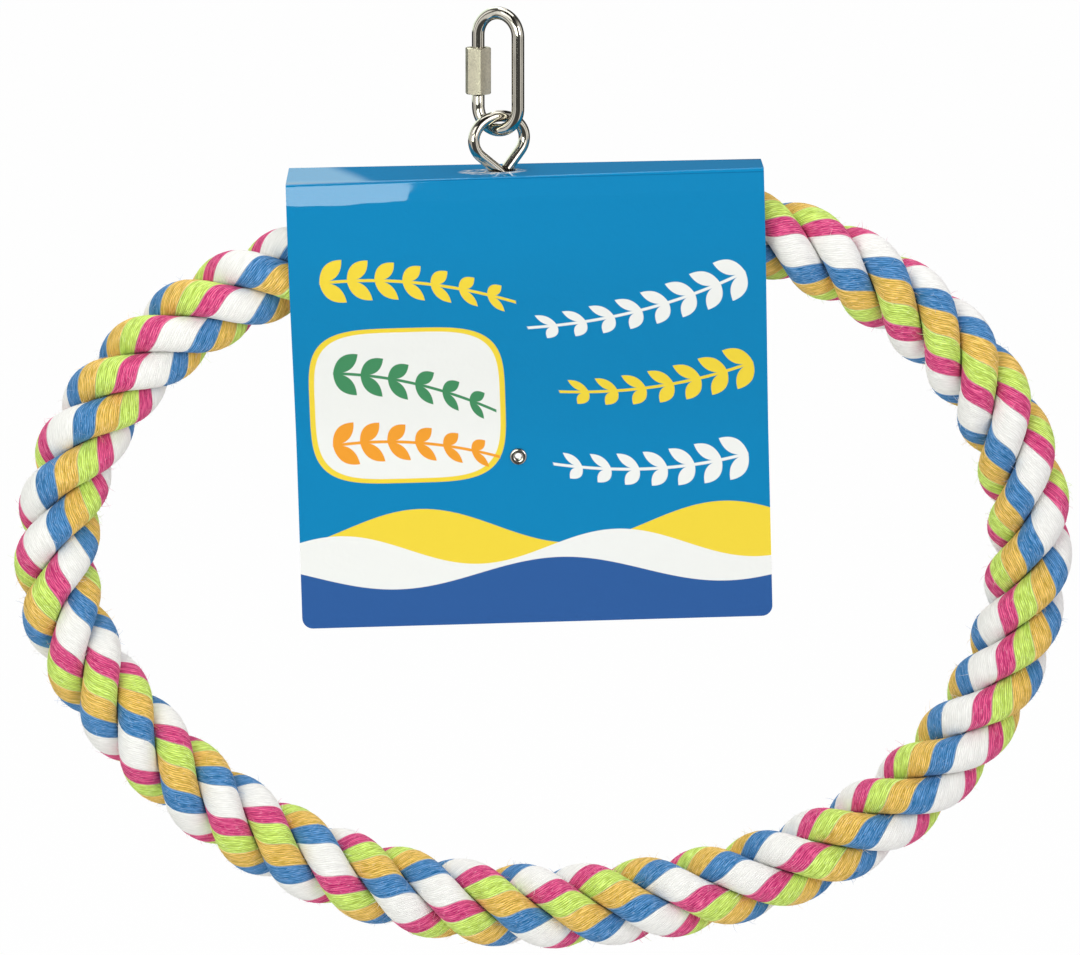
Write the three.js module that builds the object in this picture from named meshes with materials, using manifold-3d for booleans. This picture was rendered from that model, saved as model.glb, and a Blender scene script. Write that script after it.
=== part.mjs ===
// Bird swing: a three-strand rope ring on a wire core, closed by a collar and hung by an eye bolt
// from a quick link, with a folded hang card over its top.
// Millimetres, +Z up, front towards -Y. The origin is the top of the link's inner opening, where it hangs.

import * as THREE from 'three';
import { mergeVertices } from 'three/addons/utils/BufferGeometryUtils.js';
import Module from 'manifold-3d';

const wasm = await Module();
wasm.setup();

// Fits shared by the whole assembly
const GAP = 0.3; // working gap between neighbouring pieces
const CUT_PAST = 2; // how far a cutter runs past the face that it cuts
const MERGE_WITHIN = 1e-4; // corners closer than this are one corner

// Facets round and along the curved pieces
const WIRE_SIDES = 10;
const CORE_SIDES = 6;
const LINK_STEPS = 48;
const EYE_STEPS = 52;
const CORE_STEPS = 72;
const STEPS_PER_LAY = 11;
const CROWN_STEPS = 6;
const BORE_SIDES = 24;
const COLLAR_SIDES = 36;
const EYELET_SIDES = 16;
const CARD_BEND_STEPS = 7;
const CARD_CORNER_STEPS = 6;

// Quick link: a bent wire oval whose left limb is closed by a hexagonal sleeve
const LINK_WIRE = 4;
const LINK_INNER_HEIGHT = 32.8;
const LINK_INNER_WIDTH = 10.4;
const LINK_TURN = THREE.MathUtils.degToRad(30); // right limb turned towards the front
const SLEEVE_LENGTH = 14.6;
const SLEEVE_ACROSS_FLATS = 7.4;
const SLEEVE_TURN = THREE.MathUtils.degToRad(-19); // where the tightened sleeve came to rest
const SLEEVE_CHAMFER = 0.5;
const SLEEVE_SEAT = 3.8; // straight wire left below the closed sleeve
const SLEEVE_CLEARANCE = 0.45; // thread clearance round the wire
const GATE_ENGAGEMENT = 1.6; // lower stub inside the closed sleeve
const GATE_OPENING = 4.2;

// Eye bolt: bent wire teardrop on a straight shank
const EYE_WIRE = 3.6;
const EYE_INNER_WIDTH = 14.3;
const EYE_ARCH_RISE = 7.2; // widest point to the top of the arch, on the wire's centre
const EYE_ARM_DROP = 11.2; // widest point to where the arms' centres meet
const EYE_TURN = THREE.MathUtils.degToRad(28); // left arm turned towards the front
const EYE_SLACK = 0.55; // gap between eye and link where they hang on each other
const NECK_BEND = 4; // bend radius from the arm into the shank
const NECK_ABOVE_COLLAR = 1.8; // arms' meeting point to the collar's crown
const SHANK_BELOW_NUT = 1;

// Washer and lock nut inside the collar
const WASHER_DIAMETER = 9;
const WASHER_THICKNESS = 0.8;
const NUT_ACROSS_FLATS = 7;
const NUT_HEIGHT = 5;
const NUT_HEX_HEIGHT = 3.4; // hexagonal part, below the rolled rim that holds the locking ring
const NUT_RIM_RADIUS = 3.1;
const NUT_CHAMFER = 0.4;

// Rope: three strands laid right-handed round a steel core wire
const ROPE_RADIUS = 13.4;
const GROOVE_DEPTH = 4.6; // how far the grooves between strands lie below the crowns
const CROWN_FULLNESS = 2.2; // power with which a crown falls away into its grooves
const STRAND_GAP = 0.3;
const STRAND_COUNT = 3;
const CORE_WIRE = 3;
const LAY_LENGTH = 56.9; // rope length for one turn of a strand
const LAY_START = THREE.MathUtils.degToRad(-57); // first strand's place at the right rope end
const LAY_DRIFT = THREE.MathUtils.degToRad(18); // hand bending winds the lay up and lets it out again
const LAY_DRIFT_CENTRE = 330; // rope length to the tightest wound place
const LAY_DRIFT_LENGTH = 520;

// Ring: the rope's centreline, bent by hand into an oval
const HANG_LEAN = THREE.MathUtils.degToRad(6); // the hanging ring leans in its own plane
const ROPE_END_GAP = 13; // between the two rope ends inside the collar
const RING_REACH = 154; // shank axis to the widest points
const RING_WIDEST_DROP = 104.5; // collar axis down to the widest points
const RING_DROP = 219.3; // collar axis down to the lowest point
const SHOULDER_HANDLE = 64; // curve handles: how long each bend keeps its direction
const SIDE_UPPER_HANDLE = 64.4;
const SIDE_LOWER_HANDLE = 27.6;
const FOOT_HANDLE = 120;
const FOOT_SLIP = 12.3; // lowest point's place to the right of the shank
const SIDE_SKEW = 4.5; // right widest point lower, left one higher

// Collar and the tape bindings of the rope ends inside it
const COLLAR_LENGTH = 56;
const COLLAR_WALL = 1.5;
const COLLAR_LIP = 0.5; // rounding of the mouths
const BINDING_THICKNESS = 0.4;
const BINDING_LENGTH = 15;

// Hang card: folded over the collar, its panels drawn together by an eyelet
const CARD_WIDTH = 149;
const CARD_THICKNESS = 0.6;
const CARD_HEIGHT = 144.3; // crown of the fold to the lower edge
const CARD_SHIFT = 7; // card's middle to the right of the shank
const CARD_LEAN = THREE.MathUtils.degToRad(1.6);
const CARD_FOLD_RADIUS = 1.2;
const CARD_CORNER_RADIUS = 3.4;
const CARD_PINCH_GAP = 0.8; // between the panels at the eyelet
const CARD_FOOT_GAP = 3; // between the panels at the lower edge
const CARD_EYE_CLEARANCE = 0.7; // hole in the fold, clear of the eye's arms
const EYELET_DROP = 91; // crown of the fold to the eyelet
const EYELET_SIDE = 2.4; // eyelet's place to the right of the shank, along the card
const EYELET_RADIUS = 2.65;
const EYELET_BORE = 1.1;
const EYELET_WALL = 0.4;
const EYELET_RIM = 0.5; // thickness of the rolled rims
const EYELET_LAND = 1; // flat card left round the rims

// Finishes
const polishedSteel = new THREE.MeshStandardMaterial({ color: 0xb9b6ad, roughness: 0.18, metalness: 1 });
const satinSteel = new THREE.MeshStandardMaterial({ color: 0xa9a394, roughness: 0.42, metalness: 1 });
const galvanisedWire = new THREE.MeshStandardMaterial({ color: 0x8d9092, roughness: 0.5, metalness: 1 });
const whiteVinyl = new THREE.MeshStandardMaterial({ color: 0xe9e8e4, roughness: 0.45, metalness: 0 });
const bindingTape = new THREE.MeshStandardMaterial({ color: 0xcfc7b4, roughness: 0.7, metalness: 0 });
const glossyCard = new THREE.MeshStandardMaterial({ color: 0x188ac0, roughness: 0.25, metalness: 0 });
const strandColours = [0xcd3078, 0x3474b4, 0xa5de54];

// Closed mesh from a flat list of triangle corners
function solidFromTriangles(corners) {
  const geometry = new THREE.BufferGeometry();
  geometry.setAttribute('position', new THREE.Float32BufferAttribute(corners.flatMap((p) => p.toArray()), 3));
  return geometry;
}

// Boolean work: three.js geometry to a solid and back
function toSolid(geometry) {
  const bare = geometry.clone();
  bare.deleteAttribute('normal');
  bare.deleteAttribute('uv');
  const merged = mergeVertices(bare, MERGE_WITHIN);
  return new wasm.Manifold(new wasm.Mesh({
    numProp: 3,
    vertProperties: Float32Array.from(merged.attributes.position.array),
    triVerts: Uint32Array.from(merged.index.array),
  }));
}

function toGeometry(solid) {
  const mesh = solid.getMesh();
  const geometry = new THREE.BufferGeometry();
  geometry.setAttribute('position', new THREE.BufferAttribute(mesh.vertProperties, mesh.numProp));
  geometry.setIndex(new THREE.BufferAttribute(mesh.triVerts, 1));
  return geometry;
}

// A ring of revolution about Z from a closed profile of [radius, height] pairs
function revolve(profile, sides = BORE_SIDES) {
  const points = profile.map(([radius, height]) => new THREE.Vector2(radius, height));
  points.push(points[0].clone());
  const geometry = new THREE.LatheGeometry(points, sides);
  geometry.rotateX(Math.PI / 2);
  return geometry;
}

// A cutter along Z between two heights
function drill(radius, low, high, sides = BORE_SIDES) {
  const geometry = new THREE.CylinderGeometry(radius, radius, high - low, sides);
  geometry.rotateX(Math.PI / 2);
  geometry.translate(0, 0, (low + high) / 2);
  return geometry;
}

// A round wire along a curve
function wireAlong(curve, diameter, steps, sides = WIRE_SIDES) {
  const section = new THREE.Shape();
  section.absarc(0, 0, diameter / 2, 0, Math.PI * 2);
  const points = section.getSpacedPoints(sides).slice(0, sides);
  return new THREE.ExtrudeGeometry(new THREE.Shape(points), {
    steps, extrudePath: curve, bevelEnabled: false,
  });
}

// A hexagonal bar along Z whose corners are turned off by a chamfer at both ends
function chamferedHexagon(acrossFlats, low, high, chamfer) {
  const cornerRadius = acrossFlats / Math.sqrt(3);
  const bar = toSolid(drill(cornerRadius, low, high, 6));
  const faceRadius = acrossFlats / 2;
  const turned = toSolid(revolve([
    [0, low - CUT_PAST],
    [faceRadius, low - CUT_PAST],
    [faceRadius, low],
    [faceRadius + 2 * chamfer, low + chamfer],
    [faceRadius + 2 * chamfer, high - chamfer],
    [faceRadius, high],
    [faceRadius, high + CUT_PAST],
    [0, high + CUT_PAST],
  ]));
  return bar.intersect(turned);
}

const linkRadius = LINK_WIRE / 2;
const linkHalfWidth = LINK_INNER_WIDTH / 2 + linkRadius; // to the limbs' centres
const linkTop = linkRadius; // upper bow's wire centre, above the origin
const linkBottom = -LINK_INNER_HEIGHT - linkRadius; // lower bow's wire centre
const upperBowCentre = linkTop - linkHalfWidth;
const lowerBowCentre = linkBottom + linkHalfWidth;
const sleeveBottom = lowerBowCentre + SLEEVE_SEAT;
const stubTop = sleeveBottom + GATE_ENGAGEMENT;
const gateTop = stubTop + GATE_OPENING;

// Half circle in the XZ plane
class Bow extends THREE.Curve {
  constructor(centreZ, radius, from, to) {
    super();
    Object.assign(this, { centreZ, radius, from, to });
  }

  getPoint(t) {
    const angle = this.from + (this.to - this.from) * t;
    return new THREE.Vector3(this.radius * Math.cos(angle), 0, this.centreZ + this.radius * Math.sin(angle));
  }
}

function pathOf(...curves) {
  const path = new THREE.CurvePath();
  curves.forEach((curve) => path.add(curve));
  return path;
}

const at = (x, z) => new THREE.Vector3(x, 0, z);

// Link body: from the gate's upper end over the top, down the right limb and round to the lower stub
function linkBody() {
  const wire = pathOf(
    new THREE.LineCurve3(at(-linkHalfWidth, gateTop), at(-linkHalfWidth, upperBowCentre)),
    new Bow(upperBowCentre, linkHalfWidth, Math.PI, 0),
    new THREE.LineCurve3(at(linkHalfWidth, upperBowCentre), at(linkHalfWidth, lowerBowCentre)),
    new Bow(lowerBowCentre, linkHalfWidth, 0, -Math.PI),
    new THREE.LineCurve3(at(-linkHalfWidth, lowerBowCentre), at(-linkHalfWidth, stubTop)),
  );
  return wireAlong(wire, LINK_WIRE, LINK_STEPS);
}

function linkSleeve() {
  const sleeveTop = sleeveBottom + SLEEVE_LENGTH;
  const hexagon = chamferedHexagon(SLEEVE_ACROSS_FLATS, sleeveBottom, sleeveTop, SLEEVE_CHAMFER);
  const bore = drill(linkRadius + SLEEVE_CLEARANCE, sleeveBottom - CUT_PAST, sleeveTop + CUT_PAST);
  const geometry = toGeometry(hexagon.subtract(toSolid(bore)));
  geometry.rotateZ(SLEEVE_TURN);
  geometry.translate(-linkHalfWidth, 0, 0);
  return geometry;
}

// Heights below the pivot, where the eye hangs on the link's lower bow
const eyeRadius = EYE_WIRE / 2;
const eyeHalfWidth = EYE_INNER_WIDTH / 2 + eyeRadius;
const archTop = linkRadius + EYE_SLACK + eyeRadius;
const archCentre = archTop - EYE_ARCH_RISE;
const armsMeet = archCentre - EYE_ARM_DROP;
const bindingInner = ROPE_RADIUS + GAP;
const collarBore = bindingInner + BINDING_THICKNESS + GAP;
const collarRadius = collarBore + COLLAR_WALL;
const collarCrown = armsMeet - NECK_ABOVE_COLLAR;
const collarAxis = collarCrown - collarRadius;
const washerRadius = WASHER_DIAMETER / 2;
const washerTop = collarAxis + Math.sqrt(collarBore ** 2 - washerRadius ** 2) - GAP;
const nutTop = washerTop - WASHER_THICKNESS - GAP;
const nutBottom = nutTop - NUT_HEIGHT;
const shankBottom = nutBottom - SHANK_BELOW_NUT;

// The eye's arms leave the arch tangentially, below its widest points, and run to their meeting point
const archEnd = Math.asin(EYE_ARCH_RISE / EYE_ARM_DROP);
const armTop = at(eyeHalfWidth * Math.cos(archEnd), archCentre - EYE_ARCH_RISE * Math.sin(archEnd));
const meeting = at(0, armsMeet);
const arm = armTop.clone().sub(meeting).normalize();
const armSlope = Math.atan2(arm.x, arm.z);

// Upper part of the eye: an elliptical arch from the left arm's top to the right arm's
class Arch extends THREE.Curve {
  getPoint(t) {
    const angle = Math.PI + archEnd - (Math.PI + 2 * archEnd) * t;
    return at(eyeHalfWidth * Math.cos(angle), archCentre + EYE_ARCH_RISE * Math.sin(angle));
  }
}

// Eye bolt: shank, neck bend, left arm, arch, and the right arm that butts on the neck
function eyeBolt() {
  const bendReach = NECK_BEND * Math.tan(armSlope / 2);
  const leftArm = new THREE.Vector3(-arm.x, 0, arm.z);
  const bendEnd = meeting.clone().addScaledVector(leftArm, bendReach);
  const shankTop = at(0, armsMeet - bendReach);
  const armsAngle = 2 * armSlope;
  const buttReach = (eyeRadius + GAP + eyeRadius * Math.abs(Math.cos(armsAngle))) / Math.sin(armsAngle);
  const wire = pathOf(
    new THREE.LineCurve3(at(0, shankBottom), shankTop),
    new THREE.QuadraticBezierCurve3(shankTop, meeting, bendEnd),
    new THREE.LineCurve3(bendEnd, at(-armTop.x, armTop.z)),
    new Arch(),
    new THREE.LineCurve3(armTop, meeting.clone().addScaledVector(arm, buttReach)),
  );
  const geometry = wireAlong(wire, EYE_WIRE, EYE_STEPS);
  geometry.rotateZ(EYE_TURN);
  return geometry;
}

function washer() {
  const bore = eyeRadius + GAP;
  return revolve([
    [bore, washerTop - WASHER_THICKNESS],
    [washerRadius, washerTop - WASHER_THICKNESS],
    [washerRadius, washerTop],
    [bore, washerTop],
  ]);
}

// Lock nut: a hexagon with a round rim below, which holds the locking ring
function lockNut() {
  const hexBottom = nutTop - NUT_HEX_HEIGHT;
  const hexagon = chamferedHexagon(NUT_ACROSS_FLATS, hexBottom, nutTop, NUT_CHAMFER);
  const rim = toSolid(revolve([
    [0, nutBottom],
    [NUT_RIM_RADIUS - NUT_CHAMFER, nutBottom],
    [NUT_RIM_RADIUS, nutBottom + NUT_CHAMFER],
    [NUT_RIM_RADIUS, hexBottom + NUT_CHAMFER],
    [0, hexBottom + NUT_CHAMFER],
  ]));
  const bore = toSolid(drill(eyeRadius + GAP, nutBottom - CUT_PAST, nutTop + CUT_PAST));
  return toGeometry(hexagon.add(rim).subtract(bore));
}

// Rope centreline, clockwise from the right rope end round to the left one
const collarEnd = COLLAR_LENGTH / 2;
const rightSide = at(RING_REACH, collarAxis - RING_WIDEST_DROP - SIDE_SKEW);
const leftSide = at(-RING_REACH, collarAxis - RING_WIDEST_DROP + SIDE_SKEW);
const foot = at(FOOT_SLIP, collarAxis - RING_DROP);
const shift = (point, x, z) => point.clone().add(at(x, z));

const centreline = pathOf(
  new THREE.LineCurve3(at(ROPE_END_GAP / 2, collarAxis), at(collarEnd, collarAxis)),
  new THREE.CubicBezierCurve3(
    at(collarEnd, collarAxis), at(collarEnd + SHOULDER_HANDLE, collarAxis),
    shift(rightSide, 0, SIDE_UPPER_HANDLE), rightSide,
  ),
  new THREE.CubicBezierCurve3(
    rightSide, shift(rightSide, 0, -SIDE_LOWER_HANDLE), shift(foot, FOOT_HANDLE, 0), foot,
  ),
  new THREE.CubicBezierCurve3(
    foot, shift(foot, -FOOT_HANDLE, 0), shift(leftSide, 0, -SIDE_LOWER_HANDLE), leftSide,
  ),
  new THREE.CubicBezierCurve3(
    leftSide, shift(leftSide, 0, SIDE_UPPER_HANDLE),
    at(-collarEnd - SHOULDER_HANDLE, collarAxis), at(-collarEnd, collarAxis),
  ),
  new THREE.LineCurve3(at(-collarEnd, collarAxis), at(-ROPE_END_GAP / 2, collarAxis)),
);
const ropeLength = centreline.getLength();

// Angle of the first strand round the rope's axis, from the ring's outside towards the front
function layAngle(length) {
  const drift = LAY_DRIFT * Math.cos((2 * Math.PI * (length - LAY_DRIFT_CENTRE)) / LAY_DRIFT_LENGTH);
  return LAY_START + (2 * Math.PI * length) / LAY_LENGTH + drift;
}

// One strand's section, as [radius, angle] pairs about the rope's axis: a rounded third of the rope,
// cut back from its neighbours by half the strand gap and from the core wire by the working gap
function strandSection() {
  const third = Math.PI / STRAND_COUNT;
  const grooveRadius = ROPE_RADIUS - GROOVE_DEPTH;
  const flankAngle = (radius) => third - Math.asin(STRAND_GAP / 2 / radius);
  const innerFlat = (CORE_WIRE / 2 + GAP) / Math.cos(Math.PI / STEPS_PER_LAY);
  const innerRadius = innerFlat / Math.cos(third) - STRAND_GAP;
  const innerAngle = Math.acos(innerFlat / innerRadius);
  const grooveAngle = flankAngle(grooveRadius);
  const crown = [];
  for (let step = 0; step <= CROWN_STEPS; step += 1) {
    const share = (2 * step) / CROWN_STEPS - 1;
    crown.push([ROPE_RADIUS - GROOVE_DEPTH * Math.abs(share) ** CROWN_FULLNESS, grooveAngle * share]);
  }
  return [[innerRadius, -innerAngle], ...crown, [innerRadius, innerAngle]];
}

// Sweeps the section along the rope while it turns with the lay. Each quad takes the diagonal that lies
// further from the rope's axis, and on the flanks the one from an inner point to the next outer one,
// so that facing flanks stay parallel.
function strand(index) {
  const section = strandSection();
  const stepCount = Math.round((ropeLength / LAY_LENGTH) * STEPS_PER_LAY);
  const front = new THREE.Vector3(0, -1, 0);
  const axisPoints = [];
  const rings = [];
  for (let step = 0; step <= stepCount; step += 1) {
    const share = step / stepCount;
    const middle = centreline.getPoint(share);
    const tangent = centreline.getTangent(share);
    const outward = new THREE.Vector3(-tangent.z, 0, tangent.x);
    const turn = layAngle(share * ropeLength) + (2 * Math.PI * index) / STRAND_COUNT;
    axisPoints.push(middle);
    rings.push(section.map(([radius, angle]) => middle.clone()
      .addScaledVector(outward, radius * Math.cos(turn + angle))
      .addScaledVector(front, radius * Math.sin(turn + angle))));
  }
  const corners = [];
  const count = section.length;
  for (let step = 0; step < stepCount; step += 1) {
    const middle = axisPoints[step].clone().lerp(axisPoints[step + 1], 0.5);
    for (let i = 0; i < count; i += 1) {
      const next = (i + 1) % count;
      const [a, b] = [rings[step][i], rings[step][next]];
      const [c, d] = [rings[step + 1][i], rings[step + 1][next]];
      const reachAD = a.clone().lerp(d, 0.5).distanceTo(middle);
      const reachBC = b.clone().lerp(c, 0.5).distanceTo(middle);
      const isFlank = i === 0 || next === count - 1;
      const splitAD = isFlank ? section[i][0] < section[next][0] : reachAD > reachBC;
      if (splitAD) {
        corners.push(a, b, d, a, d, c);
      } else {
        corners.push(a, b, c, b, d, c);
      }
    }
  }
  const first = rings[0];
  const last = rings[stepCount];
  for (let i = 1; i + 1 < count; i += 1) {
    corners.push(first[0], first[i + 1], first[i]);
    corners.push(last[0], last[i], last[i + 1]);
  }
  return solidFromTriangles(corners);
}

function coreWire() {
  return wireAlong(centreline, CORE_WIRE, CORE_STEPS, CORE_SIDES);
}

// Collar: a tube along X with rounded mouths and the shank's hole in its crown
function collar() {
  const tube = revolve([
    [collarBore, -collarEnd + COLLAR_LIP],
    [collarBore + COLLAR_LIP, -collarEnd],
    [collarRadius - COLLAR_LIP, -collarEnd],
    [collarRadius, -collarEnd + COLLAR_LIP],
    [collarRadius, collarEnd - COLLAR_LIP],
    [collarRadius - COLLAR_LIP, collarEnd],
    [collarBore + COLLAR_LIP, collarEnd],
    [collarBore, collarEnd - COLLAR_LIP],
  ], COLLAR_SIDES);
  tube.rotateY(Math.PI / 2);
  tube.translate(0, 0, collarAxis);
  const shankHole = drill(eyeRadius + GAP, collarAxis, collarCrown + CUT_PAST);
  return toGeometry(toSolid(tube).subtract(toSolid(shankHole)));
}

// Tape round one rope end, side +1 right and -1 left
function endBinding(side) {
  const near = ROPE_END_GAP / 2;
  const far = near + BINDING_LENGTH;
  const tape = revolve([
    [bindingInner, near],
    [bindingInner + BINDING_THICKNESS, near],
    [bindingInner + BINDING_THICKNESS, far],
    [bindingInner, far],
  ], COLLAR_SIDES);
  tape.rotateY((side * Math.PI) / 2);
  tape.translate(0, 0, collarAxis);
  return tape;
}

// The card lies in its own upright frame, with the shank's axis at x = 0 and the fold's crown at z = 0.
// It rests on the collar's higher end, which stands proud because card and collar lean differently.
const relativeLean = HANG_LEAN - CARD_LEAN;
const collarHighEnd = collarRadius / Math.cos(relativeLean) + collarEnd * Math.tan(relativeLean);
const cardCrown = collarAxis + collarHighEnd + GAP + CARD_THICKNESS;
const panelDepth = collarRadius + GAP; // inner face of a panel beside the collar, from the ring's plane
const panelShoulder = cardCrown - collarAxis + collarEnd * Math.tan(relativeLean); // to the collar's low end
const pinchDepth = CARD_PINCH_GAP / 2;
const pinchTop = -EYELET_DROP + EYELET_RADIUS + EYELET_LAND;
const pinchBottom = -EYELET_DROP - EYELET_RADIUS - EYELET_LAND;
const footDepth = CARD_FOOT_GAP / 2;
const armsSpread = (cardCrown - armsMeet) * Math.tan(armSlope) + eyeRadius / Math.cos(armSlope);
const eyeHoleRadius = armsSpread + CARD_EYE_CLEARANCE;

// One side of the folded strip's inner face, from the crown to the lower edge, as depth and height
function innerFace() {
  const face = new THREE.Path();
  face.moveTo(0, -CARD_THICKNESS);
  face.lineTo(panelDepth - CARD_FOLD_RADIUS, -CARD_THICKNESS);
  face.quadraticCurveTo(panelDepth, -CARD_THICKNESS, panelDepth, -CARD_THICKNESS - CARD_FOLD_RADIUS);
  face.lineTo(panelDepth, -panelShoulder);
  face.bezierCurveTo(
    panelDepth, -panelShoulder - collarRadius, pinchDepth, pinchTop + collarRadius,
    pinchDepth, pinchTop,
  );
  face.lineTo(pinchDepth, pinchBottom);
  face.bezierCurveTo(
    pinchDepth, pinchBottom - collarRadius, footDepth, -CARD_HEIGHT + collarRadius,
    footDepth, -CARD_HEIGHT,
  );
  return face.getPoints(CARD_BEND_STEPS);
}

// Offsets a polyline outwards by the card's thickness
function thicken(points) {
  return points.map((point, i) => {
    const before = points[Math.max(i - 1, 0)];
    const after = points[Math.min(i + 1, points.length - 1)];
    const along = after.clone().sub(before).normalize();
    return new THREE.Vector2(point.x - along.y * CARD_THICKNESS, point.y + along.x * CARD_THICKNESS);
  });
}

function hangCard() {
  const inner = innerFace().filter((p, i, all) => i === 0 || p.distanceTo(all[i - 1]) > MERGE_WITHIN);
  const outer = thicken(inner);
  const mirror = (points) => points.slice(1).map((p) => new THREE.Vector2(-p.x, p.y)).reverse();
  const outside = [...mirror(outer), ...outer];
  const inside = [...mirror(inner), ...inner];
  const strip = new THREE.Shape([...outside, ...inside.reverse()]);
  const folded = new THREE.ExtrudeGeometry(strip, { depth: CARD_WIDTH, bevelEnabled: false, steps: 1 });
  folded.translate(0, 0, -CARD_WIDTH / 2);
  folded.rotateX(Math.PI / 2);
  folded.rotateZ(Math.PI / 2);
  folded.translate(CARD_SHIFT, 0, 0);

  const half = CARD_WIDTH / 2;
  const low = -CARD_HEIGHT;
  const corner = CARD_CORNER_RADIUS;
  const outline = new THREE.Shape();
  outline.moveTo(-half, CUT_PAST);
  outline.lineTo(-half, low + corner);
  outline.absarc(-half + corner, low + corner, corner, Math.PI, 1.5 * Math.PI);
  outline.lineTo(half - corner, low);
  outline.absarc(half - corner, low + corner, corner, 1.5 * Math.PI, 2 * Math.PI);
  outline.lineTo(half, CUT_PAST);
  const depth = 2 * (panelDepth + CARD_THICKNESS + CUT_PAST);
  const trimmer = new THREE.ExtrudeGeometry(outline, {
    depth, bevelEnabled: false, curveSegments: CARD_CORNER_STEPS,
  });
  trimmer.translate(CARD_SHIFT, 0, -depth / 2);
  trimmer.rotateX(Math.PI / 2);

  const eyeHole = drill(eyeHoleRadius, -CARD_THICKNESS - CARD_FOLD_RADIUS, CUT_PAST);
  const rivetHole = drill(EYELET_BORE + EYELET_WALL + GAP, -panelDepth, panelDepth);
  rivetHole.rotateX(Math.PI / 2);
  rivetHole.translate(EYELET_SIDE, 0, -EYELET_DROP);
  const trimmed = toSolid(folded).intersect(toSolid(trimmer));
  return toGeometry(trimmed.subtract(toSolid(eyeHole)).subtract(toSolid(rivetHole)));
}

// Eyelet: a short barrel through both panels with a rolled rim on each face
function cardEyelet() {
  const face = pinchDepth + CARD_THICKNESS + GAP / 2;
  const barrel = EYELET_BORE + EYELET_WALL;
  const rimMiddle = (barrel + EYELET_RADIUS) / 2;
  const half = [
    [barrel, face],
    [EYELET_RADIUS, face],
    [EYELET_RADIUS, face + EYELET_RIM / 2],
    [rimMiddle, face + EYELET_RIM],
    [EYELET_BORE + EYELET_WALL / 2, face + EYELET_RIM / 2],
    [EYELET_BORE, face - EYELET_RIM / 2],
  ];
  const mirrored = half.map(([radius, height]) => [radius, -height]).reverse();
  const eyelet = revolve([...mirrored, ...half], EYELET_SIDES);
  eyelet.rotateX(Math.PI / 2);
  eyelet.translate(EYELET_SIDE, 0, -EYELET_DROP);
  return eyelet;
}

function part(name, geometry, material) {
  const mesh = new THREE.Mesh(geometry, material);
  mesh.name = name;
  return mesh;
}

// Assembly: the link hangs upright, and the ring leans on it about the lower bow
const link = new THREE.Group();
link.rotation.z = -LINK_TURN;
link.add(
  part('link_body', linkBody(), polishedSteel),
  part('link_sleeve', linkSleeve(), satinSteel),
);

const ring = new THREE.Group();
ring.position.set(0, 0, linkBottom);
ring.rotation.y = -HANG_LEAN;
ring.add(
  part('eye_bolt', eyeBolt(), polishedSteel),
  part('washer', washer(), satinSteel),
  part('lock_nut', lockNut(), satinSteel),
  part('collar', collar(), whiteVinyl),
  part('end_binding_right', endBinding(1), bindingTape),
  part('end_binding_left', endBinding(-1), bindingTape),
  part('core_wire', coreWire(), galvanisedWire),
);
for (let index = 0; index < STRAND_COUNT; index += 1) {
  const color = strandColours[index % strandColours.length];
  const yarn = new THREE.MeshStandardMaterial({ color, roughness: 0.9, metalness: 0 });
  ring.add(part(`strand_${index + 1}`, strand(index), yarn));
}

const card = new THREE.Group();
card.position.set(0, 0, cardCrown);
card.rotation.y = HANG_LEAN - CARD_LEAN;
card.add(
  part('hang_card', hangCard(), glossyCard),
  part('card_eyelet', cardEyelet(), polishedSteel),
);
ring.add(card);

const swing = new THREE.Group();
swing.add(link, ring);

export default swing;
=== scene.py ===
"""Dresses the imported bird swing: rope ring, quick link, eye bolt, collar and folded hang card.

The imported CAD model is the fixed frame. Each sub-assembly is a class that models the pieces which
need a finer form than the CAD solids, dresses them, and gives a finish to the CAD nodes that stay.
Sizes are millimetres in a sub-assembly's own frame. They become metres in the shared frame when a
finished mesh is settled in its place.
"""

import logging
import math
from collections.abc import Callable, Iterator, Sequence
from contextlib import contextmanager
from dataclasses import dataclass, field
from enum import Enum

import bpy
import numpy as np
from mathutils import Matrix, Vector


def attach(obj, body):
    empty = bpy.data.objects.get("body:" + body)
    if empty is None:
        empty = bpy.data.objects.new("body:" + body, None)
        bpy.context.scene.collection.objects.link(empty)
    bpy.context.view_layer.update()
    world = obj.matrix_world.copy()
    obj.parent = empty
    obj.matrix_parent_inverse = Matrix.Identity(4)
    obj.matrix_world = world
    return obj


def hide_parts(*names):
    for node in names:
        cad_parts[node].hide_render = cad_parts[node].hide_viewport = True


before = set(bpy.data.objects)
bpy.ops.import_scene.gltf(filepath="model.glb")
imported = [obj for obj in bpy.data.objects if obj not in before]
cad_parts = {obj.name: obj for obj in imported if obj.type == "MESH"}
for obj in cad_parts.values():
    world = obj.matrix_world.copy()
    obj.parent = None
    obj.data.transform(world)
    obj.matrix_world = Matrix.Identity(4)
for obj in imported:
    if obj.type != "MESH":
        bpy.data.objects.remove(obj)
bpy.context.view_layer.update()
log = logging.getLogger("bird_swing")

MM = 0.001
HANG_LEAN = math.radians(6)  # the ring's lean on the link
CARD_LEAN = math.radians(1.6)  # the card's lean in the shared frame
PIVOT_DROP = 34.8  # from the origin to the middle of the link's lower bow

Colour = tuple[float, float, float, float]
Place = tuple[float, float]


def paint_colour(red: int, green: int, blue: int) -> Colour:
    """Turns a colour as seen on a screen into a linear one.

    Args:
        red, green, blue: Screen values from 0 to 255.

    Returns:
        The linear colour with full alpha.
    """

    def linear(part: int) -> float:
        """Undoes the screen's curve for one part of the colour."""
        share = part / 255
        return share / 12.92 if share <= 0.04045 else ((share + 0.055) / 1.055) ** 2.4

    return (linear(red), linear(green), linear(blue), 1.0)


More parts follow.
